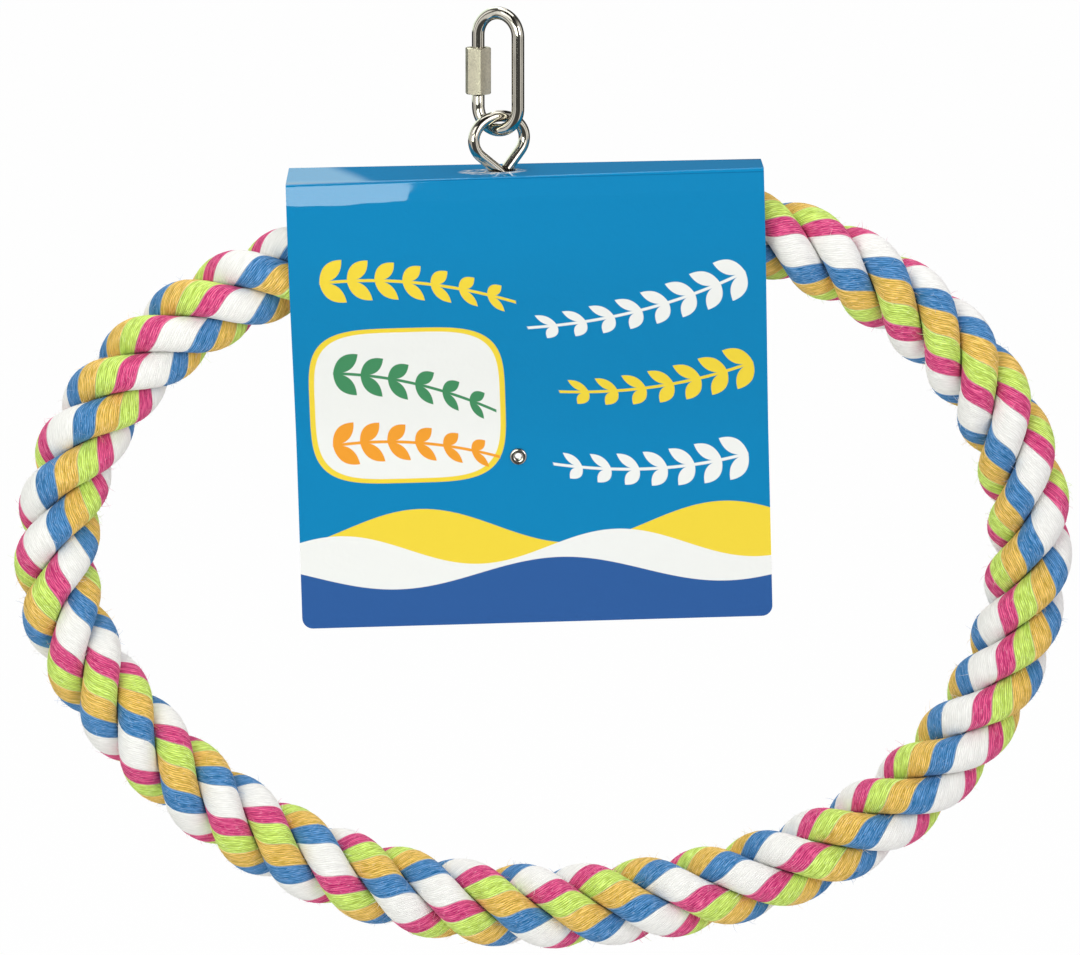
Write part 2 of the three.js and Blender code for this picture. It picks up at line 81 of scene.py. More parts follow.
def shaded(colour: Colour, share: float) -> Colour:
    """Gives a linear colour at a share of its light."""
    return tuple(part * share for part in colour[:3]) + (1.0,)


def ring_frame() -> Matrix:
    """Gives the placement of the leaning ring, from millimetres to the shared frame."""
    hang = Matrix.Translation((0, 0, -PIVOT_DROP)) @ Matrix.Rotation(-HANG_LEAN, 4, "Y")
    return Matrix.Scale(MM, 4) @ hang


def smooth_step(share: np.ndarray) -> np.ndarray:
    """Eases a share from 0 to 1, flat at both ends."""
    held = np.clip(share, 0, 1)
    return held * held * (3 - 2 * held)


def along_curve(handles: Sequence[Vector | np.ndarray], t: float | np.ndarray) -> Vector | np.ndarray:
    """Gives the place on a Bezier curve.

    Args:
        handles: Its start, two handles and end.
        t: The share of the way, or a column of shares.

    Returns:
        The place, or a row for each share.
    """
    a, b, c, d = handles
    return a * (1 - t) ** 3 + b * (3 * t * (1 - t) ** 2) + c * (3 * t * t * (1 - t)) + d * t**3


def dress(node: str, material: bpy.types.Material) -> bpy.types.Object:
    """Gives a CAD node that stays a finish of its own.

    Args:
        node: The node's name.
        material: The finish.

    Returns:
        The node's object.
    """
    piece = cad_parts[node]
    piece.data.materials.clear()
    piece.data.materials.append(material)
    return piece


class Bench:
    """The modelling operators, with the selection that each of them needs."""

    @staticmethod
    def add(name: str, operator: Callable[..., set], **settings: object) -> bpy.types.Object:
        """Adds a primitive on an empty selection and puts its place into its mesh.

        Args:
            name: The new piece's name.
            operator: The operator that adds the primitive.
            settings: The operator's own settings.

        Returns:
            The new object.
        """
        bpy.ops.object.select_all(action="DESELECT")
        operator(**settings)
        piece = bpy.context.object
        piece.name = name
        piece.data.name = name
        bpy.ops.object.transform_apply(location=True, rotation=True, scale=True)
        return piece

    @staticmethod
    def hold(piece: bpy.types.Object) -> None:
        """Makes a piece the only selected one."""
        bpy.ops.object.select_all(action="DESELECT")
        piece.select_set(True)
        bpy.context.view_layer.objects.active = piece

    @staticmethod
    @contextmanager
    def edit(piece: bpy.types.Object) -> Iterator[None]:
        """Opens a piece in edit mode with nothing selected, and closes it again."""
        Bench.hold(piece)
        bpy.ops.object.mode_set(mode="EDIT")
        bpy.ops.mesh.select_all(action="DESELECT")
        yield
        bpy.ops.object.mode_set(mode="OBJECT")

    @staticmethod
    def pick(piece: bpy.types.Object, kind: str, test: Callable[[bpy.types.bpy_struct], bool]) -> None:
        """Selects elements of a piece that is open in edit mode.

        Args:
            piece: The piece.
            kind: VERT, EDGE or FACE.
            test: Tells whether an element is picked.
        """
        bpy.ops.mesh.select_mode(type=kind)
        bpy.ops.mesh.select_all(action="DESELECT")
        bpy.ops.object.mode_set(mode="OBJECT")
        parts = {"VERT": piece.data.vertices, "EDGE": piece.data.edges, "FACE": piece.data.polygons}
        for element in parts[kind]:
            element.select = test(element)
        bpy.ops.object.mode_set(mode="EDIT")

    @staticmethod
    def pull(step: Sequence[float]) -> None:
        """Extrudes the selection by a step."""
        bpy.ops.mesh.extrude_region_move(TRANSFORM_OT_translate={"value": tuple(step)})

    @staticmethod
    def modify(piece: bpy.types.Object, kind: str, **settings: object) -> None:
        """Adds a modifier to a piece and applies it.

        Args:
            piece: The piece.
            kind: The modifier's type.
            settings: The modifier's own settings.
        """
        Bench.hold(piece)
        modifier = piece.modifiers.new(kind.title(), kind)
        for name, setting in settings.items():
            setattr(modifier, name, setting)
        bpy.ops.object.modifier_apply(modifier=modifier.name)

    @staticmethod
    def cut(piece: bpy.types.Object, cutter: bpy.types.Object, operation: str = "DIFFERENCE") -> None:
        """Cuts a piece with another solid, which is used up."""
        Bench.modify(piece, "BOOLEAN", operation=operation, object=cutter, solver="EXACT")
        bpy.data.objects.remove(cutter)

    @staticmethod
    def drill(piece: bpy.types.Object, sides: int, **settings: object) -> None:
        """Drills a round hole.

        Args:
            piece: The piece.
            sides: Sides of the hole.
            settings: The drill's radius and depth, and its place and turn.
        """
        drill = Bench.add("drill", bpy.ops.mesh.primitive_cylinder_add, vertices=sides, **settings)
        Bench.cut(piece, drill)

    @staticmethod
    def close(piece: bpy.types.Object, crease: float = 40.0) -> None:
        """Merges doubles, turns the faces outwards and smooths all but the edges sharper than a crease."""
        with Bench.edit(piece):
            bpy.ops.mesh.select_all(action="SELECT")
            bpy.ops.mesh.remove_doubles(threshold=1e-4)
            bpy.ops.mesh.normals_make_consistent(inside=False)
        bpy.ops.object.shade_smooth_by_angle(angle=math.radians(crease))

    @staticmethod
    def settle(piece: bpy.types.Object, placement: Matrix, body: str, slot: str, *nodes: str) -> None:
        """Puts a finished piece in its place in the shared frame.

        Args:
            piece: The piece, modelled in millimetres.
            placement: From its own frame to the shared one.
            body: The CAD body that it moves with.
            slot: A material slot's name; not used.
            nodes: The CAD nodes that it stands for.
        """
        piece.data.transform(placement)
        piece.data.update()
        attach(piece, body)
        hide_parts(*nodes)

    @staticmethod
    def stand(mesh: bpy.types.Mesh, maps: dict[str, np.ndarray]) -> bpy.types.Object:
        """Puts a skinned mesh into the scene as a piece.

        Args:
            mesh: The mesh, which gives the piece its name.
            maps: UV maps by name, with a place for each corner of its faces.

        Returns:
            The piece.
        """
        for name, places in maps.items():
            mesh.uv_layers.new(name=name).data.foreach_set("uv", places.ravel())
        piece = bpy.data.objects.new(mesh.name, mesh)
        bpy.context.scene.collection.objects.link(piece)
        return piece

    @staticmethod
    def both_ends(profile: Sequence[Place]) -> list[Place]:
        """Joins a profile of radius and height to its mirror image below."""
        return [*profile, *((radius, -height) for radius, height in reversed(profile))]

    @staticmethod
    def lathe(name: str, profile: Sequence[Place], sides: int) -> bpy.types.Object:
        """Draws a ring round Z along a closed profile.

        Args:
            name: The new piece's name.
            profile: Radius and height of each corner, in order.
            sides: Sides of the ring.

        Returns:
            The closed ring.
        """
        radius, height = profile[0]
        piece = Bench.add(
            name, bpy.ops.mesh.primitive_circle_add,
            vertices=sides, radius=radius, fill_type="NOTHING", location=(0, 0, height),
        )
        with Bench.edit(piece):
            bpy.ops.mesh.select_all(action="SELECT")
            for next_radius, next_height in [*profile[1:], profile[0]]:
                Bench.pull((0, 0, next_height - height))
                grow = next_radius / radius
                bpy.ops.transform.resize(value=(grow, grow, 1), center_override=(0, 0, next_height))
                radius, height = next_radius, next_height
        Bench.close(piece)
        return piece


@dataclass
class WireBender:
    """Draws a round wire out of a disc and bends it in the XZ plane.

    A heading is the angle from +Z towards +X, in radians.
    """

    name: str
    radius: float
    place: Place
    heading: float
    sides: int = 28
    wire: bpy.types.Object = field(init=False)

    def __post_init__(self) -> None:
        """Cuts the first face of the wire and opens it for drawing."""
        self.wire = Bench.add(
            self.name, bpy.ops.mesh.primitive_circle_add,
            vertices=self.sides, radius=self.radius, fill_type="NGON",
        )
        Bench.hold(self.wire)
        bpy.ops.object.mode_set(mode="EDIT")
        bpy.ops.mesh.select_all(action="SELECT")
        self._turn(self.heading, (0, 0))
        bpy.ops.transform.translate(value=(self.place[0], 0, self.place[1]))

    @staticmethod
    def _turn(angle: float, centre: Place) -> None:
        """Turns the end face. Without a window the operator turns the other way."""
        bpy.ops.transform.rotate(value=-angle, orient_axis="Y", center_override=(centre[0], 0, centre[1]))

    def draw(self, place: Place, heading: float, radius: float | None = None) -> None:
        """Draws the wire on to the next place.

        Args:
            place: The next centre.
            heading: The wire's heading there.
            radius: The wire's radius there, if it changes.
        """
        Bench.pull((place[0] - self.place[0], 0, place[1] - self.place[1]))
        bend = (heading - self.heading + math.pi) % math.tau - math.pi
        if abs(bend) > 1e-9:
            self._turn(bend, place)
        if radius is not None:
            grow = radius / self.radius
            bpy.ops.transform.resize(value=(grow, grow, grow), center_override=(place[0], 0, place[1]))
            self.radius = radius
        self.place, self.heading = place, heading

    def straight(self, place: Place) -> None:
        """Draws the wire straight on to a place."""
        self.draw(place, self.heading)

    def bow(self, centre: Place, reach: Place, start: float, end: float, steps: int) -> None:
        """Bends the wire along part of an ellipse.

        Args:
            centre: The ellipse's centre.
            reach: Its half axes along X and Z.
            start, end: Angles from +X towards +Z, in radians.
            steps: Steps of the bend.
        """
        way = math.copysign(1, end - start)
        for step in range(1, steps + 1):
            angle = start + (end - start) * step / steps
            place = (centre[0] + reach[0] * math.cos(angle), centre[1] + reach[1] * math.sin(angle))
            heading = math.atan2(-way * reach[0] * math.sin(angle), way * reach[1] * math.cos(angle))
            self.draw(place, heading)

    def thread(self, pitch: float, depth: float, turns: int) -> None:
        """Draws thread crests straight on, from the root up to the full wire."""
        crest = self.radius
        for step in range(1, 2 * turns + 1):
            onward = Vector((math.sin(self.heading), math.cos(self.heading))) * pitch / 2
            self.draw(tuple(Vector(self.place) + onward), self.heading, crest - depth * (step % 2))

    def finish(self) -> bpy.types.Object:
        """Closes the drawing and gives the smooth wire."""
        bpy.ops.object.mode_set(mode="OBJECT")
        Bench.close(self.wire)
        return self.wire


class Value:
    """A number that changes over a surface: an output socket with arithmetic on it."""

    def __init__(self, paint: "Paint", socket: bpy.types.NodeSocket) -> None:
        """Wraps one output socket of a paint."""
        self.paint = paint
        self.socket = socket

    def __add__(self, other: "Number") -> "Value":
        """Adds."""
        return self.paint.math("ADD", self, other)

    def __sub__(self, other: "Number") -> "Value":
        """Subtracts a number from this one."""
        return self.paint.math("SUBTRACT", self, other)

    def __rsub__(self, other: "Number") -> "Value":
        """Subtracts this number from another."""
        return self.paint.math("SUBTRACT", other, self)

    def __mul__(self, other: "Number") -> "Value":
        """Multiplies."""
        return self.paint.math("MULTIPLY", self, other)

    def __truediv__(self, other: "Number") -> "Value":
        """Divides by a number."""
        return self.paint.math("DIVIDE", self, other)

    def __mod__(self, other: "Number") -> "Value":
        """Gives what is left past whole multiples."""
        return self.paint.math("FLOORED_MODULO", self, other)

    def __abs__(self) -> "Value":
        """Drops the sign."""
        return self.paint.math("ABSOLUTE", self)

    __radd__ = __add__
    __rmul__ = __mul__

    def sine(self) -> "Value":
        """Gives the sine of an angle in radians."""
        return self.paint.math("SINE", self)

    def floor(self) -> "Value":
        """Drops the part past the point."""
        return self.paint.math("FLOOR", self)

    def most(self, other: "Number") -> "Value":
        """Gives the larger of two numbers."""
        return self.paint.math("MAXIMUM", self, other)

    def least(self, other: "Number") -> "Value":
        """Gives the smaller of two numbers."""
        return self.paint.math("MINIMUM", self, other)

    def rise(self, low: float, high: float) -> "Value":
        """Goes smoothly from 0 at one number to 1 at another."""
        eased = self.paint.node(
            "ShaderNodeMapRange", {"interpolation_type": "SMOOTHSTEP"},
            {"Value": self, "From Min": low, "From Max": high},
        )
        return Value(self.paint, eased.outputs["Result"])


Number = Value | float
Given = Value | bpy.types.NodeSocket | float | Sequence[float]


class Paint:
    """One node tree, of a material or of the world."""

    def __init__(self, tree: bpy.types.NodeTree) -> None:
        """Starts from an empty tree."""
        self.tree = tree
        self.tree.nodes.clear()

    @classmethod
    def material(cls, name: str) -> tuple["Paint", bpy.types.Material]:
        """Starts a material.

        Args:
            name: The material's name.

        Returns:
            The paint of the material, and the material.
        """
        made = bpy.data.materials.new(name)
        made.use_nodes = True
        return cls(made.node_tree), made

    def node(self, kind: str, settings: dict | None = None, inputs: dict | None = None) -> bpy.types.Node:
        """Adds any node.

        Args:
            kind: The node's type.
            settings: Its settings, which are set first.
            inputs: Values or links of its sockets, by name or number.

        Returns:
            The node.
        """
        made = self.tree.nodes.new(kind)
        for name, setting in (settings or {}).items():
            setattr(made, name, setting)
        for name, given in (inputs or {}).items():
            self.feed(made.inputs[name], given)
        return made

    def feed(self, socket: bpy.types.NodeSocket, given: Given) -> None:
        """Links a socket, or sets its value."""
        if isinstance(given, Value):
            given = given.socket
        if isinstance(given, bpy.types.NodeSocket):
            self.tree.links.new(given, socket)
        else:
            socket.default_value = given

    def math(self, operation: str, *terms: Number) -> Value:
        """Adds a Math node on its terms."""
        made = self.node("ShaderNodeMath", {"operation": operation}, dict(enumerate(terms)))
        return Value(self, made.outputs[0])

    def mix(self, factor: Number, first: Given, second: Given) -> bpy.types.NodeSocket:
        """Mixes two colours.

        Args:
            factor: Share of the second colour.
            first, second: The colours.

        Returns:
            The mixed colour's socket.
        """
        inputs = {0: factor, 6: first, 7: second}
        return self.node("ShaderNodeMix", {"data_type": "RGBA"}, inputs).outputs[2]

    def vector(self, x: Number, y: Number, z: Number) -> bpy.types.NodeSocket:
        """Joins three numbers to a vector."""
        return self.node("ShaderNodeCombineXYZ", None, {0: x, 1: y, 2: z}).outputs[0]

    def parts(self, vector: bpy.types.NodeSocket) -> tuple[Value, Value, Value]:
        """Splits a vector into its three numbers."""
        split = self.node("ShaderNodeSeparateXYZ", None, {0: vector})
        return tuple(Value(self, output) for output in split.outputs)

    def noise(self, vector: bpy.types.NodeSocket, scale: float, detail: float = 2.0) -> Value:
        """Gives soft noise from 0 to 1 on a vector."""
        made = self.node(
            "ShaderNodeTexNoise", None, {"Vector": vector, "Scale": scale, "Detail": detail},
        )
        return Value(self, made.outputs["Fac"])

    def place(self) -> bpy.types.NodeSocket:
        """Gives the place on the object in the shared frame, in metres."""
        return self.node("ShaderNodeTexCoord").outputs["Object"]

    def bump(self, height: Value, distance: float, strength: float = 1.0) -> bpy.types.NodeSocket:
        """Turns a height from 0 to 1 into a normal.

        Args:
            height: The height.
            distance: The height's depth in metres.
            strength: Share of the effect.

        Returns:
            The normal's socket.
        """
        made = self.node(
            "ShaderNodeBump", None, {"Height": height, "Distance": distance, "Strength": strength},
        )
        return made.outputs["Normal"]

    def surface(self, **inputs: Given) -> None:
        """Ends a material in one principled surface, with its sockets named by words joined with _."""
        named = {name.replace("_", " "): given for name, given in inputs.items()}
        if "Specular" in named:
            named["Specular IOR Level"] = named.pop("Specular")
        shader = self.node("ShaderNodeBsdfPrincipled", None, named)
        self.node("ShaderNodeOutputMaterial", None, {"Surface": shader.outputs[0]})


class Yarn(Enum):
    """The five dyed yarns of a strand, in their order round it: screen colour and sector in degrees."""

    MAGENTA = ((220, 30, 120), 58)
    WHITE = ((243, 241, 238), 100)
    BLUE = ((16, 122, 188), 68)
    GOLD = ((234, 188, 64), 70)
    LIME = ((204, 234, 88), 64)

    @property
    def dye(self) -> Colour:
        """Gives the linear colour."""
        return paint_colour(*self.value[0])

    @property
    def sector(self) -> float:
        """Gives the share of the strand's round, in radians."""
        return math.radians(self.value[1])


@dataclass(frozen=True)
class CottonYarn:
    """Soft spun cotton: heathered dye, fibres along the yarns and pale lint, with painted shade in the
    valleys between yarns and in the grooves between strands.

    The patterns' scales are cells to the millimetre, or to the yarn where they count yarns.
    """

    yarn: Yarn
    yarns: int
    fibre_depth: float = 0.00008
    fibre_scale: Place = (0.36, 2.9)
    fibre_lean: float = 0.1
    cross_lean: float = -0.14
    valley_shade_share: float = 0.7
    border_share: float = 0.6
    groove_shade_share: float = 0.85
    white_contrast: float = 0.26
    roughness: float = 0.9

    def make(self) -> bpy.types.Material:
        """Builds the material on the bundle's own map, along in millimetres and across in yarns."""
        paint, material = Paint.material(f"cotton_{self.yarn.name.lower()}")
        laid = paint.node("ShaderNodeUVMap", {"uv_map": RopeRing.YARN_MAP}).outputs[0]
        along, across, _ = paint.parts(laid)
        wide = across * RopeRing.yarn_pitch
        heather = paint.noise(paint.vector(along * 0.06, wide * 0.7, 0), 1.0, 3)
        fibre = self._fibres(paint, along, wide, self.fibre_lean, 1)
        cross = self._fibres(paint, along, wide, self.cross_lean, 5)
        chance = paint.node(
            "ShaderNodeTexWhiteNoise", {"noise_dimensions": "1D"}, {"W": across.floor()},
        )
        each = Value(paint, chance.outputs["Value"])
        depth = paint.node("ShaderNodeAttribute", {"attribute_name": RopeRing.GROOVE})
        groove = Value(paint, depth.outputs["Fac"])
        valley = self._valleys(paint, along, across)
        border = 1 - across.least(self.yarns - across).rise(0.08, 0.5)
        shade = heather * 0.12 + each * 0.06 + fibre * 0.45 + cross * 0.4
        dim, bright = self._tone(0.62, 0.0), self._tone(1.42, 0.15)
        body = paint.mix(shade.rise(0.34, 0.68), dim, bright)
        # Painted shade: the colour darkens in the valleys between yarns.
        body = paint.mix(valley * self.valley_shade_share, body, self._tone(0.42, 0.0))
        speck = paint.noise(paint.vector(along * 0.7, wide * 2.6, 9), 1.0, 1)
        flecks = fibre.least(cross).rise(0.54, 0.66) * 0.3 + speck.rise(0.6, 0.74) * 0.6
        body = paint.mix(flecks + border * self.border_share, body, self._tone(1.12, 0.38))
        # Painted shade: the colour darkens towards the grooves between strands.
        body = paint.mix(groove * groove * self.groove_shade_share, body, self._tone(0.28, 0.0))
        normal = paint.bump(fibre.most(cross) - valley, self.fibre_depth)
        paint.surface(Base_Color=body, Normal=normal, **self._nap())
        return material

    def make_lint(self) -> bpy.types.Material:
        """Builds the material of the yarn's loose fibres, dyed at their roots and paler at their tips."""
        paint, material = Paint.material(f"lint_{self.yarn.name.lower()}")
        laid = paint.node("ShaderNodeUVMap", {"uv_map": Lint.HAIR_MAP}).outputs[0]
        along, each, _ = paint.parts(laid)
        faded = along * 0.5 + each * 0.5
        shown = paint.mix(faded, self._tone(1.0, 0.05), self._tone(1.0, 0.6))
        paint.surface(Base_Color=shown, **self._nap())
        return material

    def _nap(self) -> dict[str, float]:
        """Gives the soft gloss that a yarn and its loose fibres share."""
        return {"Roughness": self.roughness, "Specular": 0.1, "Sheen_Weight": 0.12, "Sheen_Roughness": 0.5}

    @staticmethod
    def _valleys(paint: Paint, along: Value, across: Value) -> Value:
        """Gives the valleys between yarns, which wander a little and come and go.

        Args:
            paint: The material's paint.
            along: The place along the bundle in millimetres.
            across: The place across it in yarns.

        Returns:
            The valleys' depth from 0 to 1.
        """
        wander = paint.noise(paint.vector(along * 0.11, across * 0.4, 3), 1.0, 1) - 0.5
        patchy = paint.noise(paint.vector(along * 0.2, across, 7), 1.0, 1).rise(0.3, 0.6)
        off_crest = abs(((across + wander * 0.9) % 1.0) * 2 - 1)
        return off_crest.rise(0.25, 0.95) * (patchy * 0.6 + 0.4)

    def _fibres(self, paint: Paint, along: Value, wide: Value, lean: float, seed: float) -> Value:
        """Gives short fibres that lie at an angle to the yarn.

        Args:
            paint: The material's paint.
            along, wide: The place on the bundle in millimetres.
            lean: The fibres' angle to the yarn, in radians.
            seed: Tells one layer of fibres from another.

        Returns:
            The fibres' height from 0 to 1.
        """
        run = along * math.cos(lean) + wide * math.sin(lean)
        side = wide * math.cos(lean) - along * math.sin(lean)
        long_scale, fine_scale = self.fibre_scale
        return paint.noise(paint.vector(run * long_scale, side * fine_scale, seed), 1.0, 1)

    def _tone(self, depth: float, lint: float) -> Colour:
        """Gives the dye at a depth of shade, with a share of pale lint over it."""
        contrast = self.white_contrast if self.yarn is Yarn.WHITE else 1.0
        dyed = shaded(self.yarn.dye, 1 - (1 - depth) * contrast)
        return tuple(part + (1 - part) * lint for part in dyed)


@dataclass(frozen=True)
class BrightSteel:
    """Steel with a drawn grain: polished for wire, satin for turned parts."""

    name: str
    tint: Colour
    roughness: float
    grain: float
    scale: tuple[float, float, float] = (900, 900, 120)

    def make(self) -> bpy.types.Material:
        """Builds the material on the place in the shared frame."""
        paint, material = Paint.material(self.name)
        x, y, z = paint.parts(paint.place())
        drawn = paint.vector(x * self.scale[0], y * self.scale[1], z * self.scale[2])
        streak = paint.noise(drawn, 1.0, 4)
        cloud = paint.noise(paint.place(), 160, 3)
        paint.surface(
            Base_Color=paint.mix(streak.rise(0.25, 0.75), shaded(self.tint, 0.8), self.tint),
            Metallic=1.0,
            Roughness=cloud * self.roughness + self.roughness * 0.5,
            Normal=paint.bump(streak, self.grain),
        )
        return material


@dataclass(frozen=True)
class PlainPlastic:
    """Moulded vinyl or tape: faint mottling and a fine skin."""

    name: str
    tint: Colour
    roughness: float

    def make(self) -> bpy.types.Material:
        """Builds the material on the place in the shared frame."""
        paint, material = Paint.material(self.name)
        mottle = paint.noise(paint.place(), 240, 4)
        skin = paint.noise(paint.place(), 2600, 3)
        paint.surface(
            Base_Color=paint.mix(mottle.rise(0.3, 0.7), shaded(self.tint, 0.86), self.tint),
            Roughness=self.roughness + mottle * 0.15,
            Normal=paint.bump(skin, 0.00003),
        )
        return material


@dataclass(frozen=True)
class BareBoard:
    """The card's unprinted inside and cut edges: white board with fine fibres."""

    dim: Colour = paint_colour(226, 224, 218)
    bright: Colour = paint_colour(243, 242, 239)

    def make(self) -> bpy.types.Material:
        """Builds the material on the place in the shared frame."""
        paint, material = Paint.material("bare_board")
        fibre = paint.noise(paint.place(), 1800, 5)
        paint.surface(
            Base_Color=paint.mix(fibre.rise(0.3, 0.7), self.dim, self.bright),
            Roughness=0.8,
            Normal=paint.bump(fibre, 0.00003),
        )
        return material


@dataclass(frozen=True)
class CardPrint:
    """Glossy printed board: leaf sprigs on blue, a white label and three waves, with painted shade along
    the creases and white marks round the neck, partly cracked print and partly painted glints.
    """

    placement: Matrix
    middle: float
    blue: Colour = paint_colour(16, 130, 184)
    crease_shade_blue: Colour = paint_colour(10, 92, 142)
    navy: Colour = paint_colour(48, 92, 156)
    yellow: Colour = paint_colour(240, 212, 66)
    orange: Colour = paint_colour(240, 158, 52)
    green: Colour = paint_colour(70, 140, 96)
    white: Colour = paint_colour(238, 238, 236)
    label_middle: Place = (-39, 73)
    label_half: Place = (29, 24)
    neck_middle: Place = (-3, -2)
    neck_half: Place = (11, 8)

    def make(self) -> bpy.types.Material:
        """Builds the material on the card's own frame, in millimetres."""
        paint, material = Paint.material("printed_card")
        own = paint.node(
            "ShaderNodeMapping", {"vector_type": "TEXTURE"},
            {
                "Vector": paint.place(),
                "Location": self.placement.to_translation(),
                "Rotation": self.placement.to_euler(),
                "Scale": (MM, MM, MM),
            },
        ).outputs[0]
        x, depth, height = paint.parts(own)
        across = x - self.middle
        down = height * -1
        shown = self._label(paint, across, down, self._waves(paint, across, down))
        for origin, turn, pairs, tint in (
            ((-63, 86), -7, 6, self.orange),
            ((-62, 62), 3, 6, self.green),
            ((68, 32), 154, 8, self.white),
            ((70, 62), 160, 7, self.yellow),
            ((68, 92), 166, 7, self.white),
            ((-65, 32), -5, 7, self.yellow),
        ):
            sprig = self._sprig(paint, across, down, origin, math.radians(turn), pairs)
            shown = paint.mix(sprig, shown, tint)
        shown = self._crease_shade_and_neck_marks(paint, across, depth, down, shown)
        spine = self._spine(down)
        neck = self._neck(across, depth) * spine
        ripple = paint.noise(paint.vector(x * 0.035, down * 0.09 + depth * 0.05, 0), 1.0, 2)
        waves = paint.noise(paint.vector(x * 0.1, down * 0.05, 4), 1.0, 2)
        dents = paint.noise(own, 0.5, 3)
        crumple = paint.noise(own, 0.28, 2) * neck
        paint.surface(
            Base_Color=shown,
            Roughness=dents * 0.08 + 0.4,
            Specular=0.0,
            Coat_Weight=1 - spine * 0.55,
            Coat_Roughness=0.03,
            Normal=paint.bump(ripple * 0.5 + waves * 0.25 + dents * 0.14 + crumple * 1.2, 0.001, 0.6),
        )
        return material

    def _waves(self, paint: Paint, across: Value, down: Value) -> bpy.types.NodeSocket:
        """Lays three waves over the foot of the blue ground.

        Args:
            paint: The material's paint.
            across, down: The place on the panel.

        Returns:
            The ground's colour with the waves.
        """
        shown = self.blue
        for crest, swing, length, shift, tint in (
            (113, 6.0, 96, 12, self.yellow),
            (120, 5.0, 88, 40, self.white),
            (128, 4.5, 104, 70, self.navy),
        ):
            edge = (across + shift) * (math.tau / length)
            below = down - edge.sine() * swing - crest
            shown = paint.mix(below.rise(-0.12, 0.12), shown, tint)
        return shown

    def _label(
        self, paint: Paint, across: Value, down: Value, under: bpy.types.NodeSocket
    ) -> bpy.types.NodeSocket:
        """Lays a white label with soft corners and a yellow rim over the left of the panel.

        Args:
            paint: The material's paint.
            across, down: The place on the panel.
            under: The colour that the label goes over.

        Returns:
            The colour with the label.
        """
        far = (across - self.label_middle[0]) / self.label_half[0]
        low = (down - self.label_middle[1]) / self.label_half[1]
        reach = paint.math("SQRT", far * far * far * far + low * low * low * low)
        under = paint.mix(1 - reach.rise(1.12, 1.14), under, self.yellow)
        return paint.mix(1 - reach.rise(1.0, 1.02), under, self.white)

    @staticmethod
    def _sprig(
        paint: Paint, across: Value, down: Value, origin: Place, turn: float, pairs: int
    ) -> Value:
        """Draws one sprig: a bent stem with pairs of leaves that shrink towards its tip.

        Args:
            paint: The material's paint.
            across, down: The place on the panel.
            origin: Where the stem starts.
            turn: The stem's direction, from across towards down.
            pairs: The pairs of leaves.

        Returns:
            The sprig's mask.
        """
        pitch, leaf, half_leaf, lean = 8.6, 11.0, 2.5, math.radians(42)
        bow, taper, soft = 0.22, 0.45, 0.12
        length = pitch * pairs
        far = across - origin[0]
        low = down - origin[1]
        stem = far * math.cos(turn) + low * math.sin(turn)
        side = low * math.cos(turn) - far * math.sin(turn) - stem * stem * (bow / length)
        apart = abs(side)
        cell = stem % pitch
        size = 1 - stem * (taper / length)
        leaf_along = cell * math.cos(lean) + apart * math.sin(lean)
        leaf_across = abs(apart * math.cos(lean) - cell * math.sin(lean))
        middle = leaf_along / (size * (leaf / 2)) - 1
        inside = size * half_leaf * (1 - middle * middle) - leaf_across
        leaves = inside.rise(-soft, soft)
        line = 1 - apart.rise(0.35, 0.6)
        run = stem.rise(-0.2, 0.2) * (1 - stem.rise(length - 0.2, length + 0.2))
        return leaves.most(line) * run

    def _crease_shade_and_neck_marks(
        self, paint: Paint, across: Value, depth: Value, down: Value, under: bpy.types.NodeSocket
    ) -> bpy.types.NodeSocket:
        """Paints shade along the two creases as a dark line, and white marks round the neck of the eye,
        partly cracked print and partly painted glints of its crinkles.

        Args:
            paint: The material's paint.
            across, depth, down: The place on the card.
            under: The printed colour.

        Returns:
            The colour with the painted crease shade and the neck marks.
        """
        # Painted shade: a dark line along each crease.
        crease = 1 - abs(down - 0.6).rise(0.03, 0.2)
        under = paint.mix(crease * 0.75, under, self.crease_shade_blue)
        # White marks round the neck: partly bare board where the print cracked, partly painted glints of
        # the crinkles.
        crack = paint.noise(paint.vector(across * 0.2, depth * 0.4, 5), 1.0, 3)
        split = 1 - abs(crack - 0.5).rise(0.025, 0.08)
        bare = split * self._spine(down) * self._neck(across, depth) * 0.9
        return paint.mix(bare, under, self.white)

    @staticmethod
    def _spine(down: Value) -> Value:
        """Marks the spine above the two creases."""
        return 1 - down.rise(0.3, 0.9)

    def _neck(self, across: Value, depth: Value) -> Value:
        """Marks the crinkled place round the neck of the eye."""
        aside = (across + self.middle - self.neck_middle[0]) / self.neck_half[0]
        ahead = (depth - self.neck_middle[1]) / self.neck_half[1]
        return 1 - (aside * aside + ahead * ahead).rise(0.5, 1.1)


@dataclass(frozen=True)
class StrandTwist:
    """How one strand's bundles run: their turns to one turn of the lay, and start and slip in degrees."""

    against_lay: float
    magenta_start: float
    slip: float


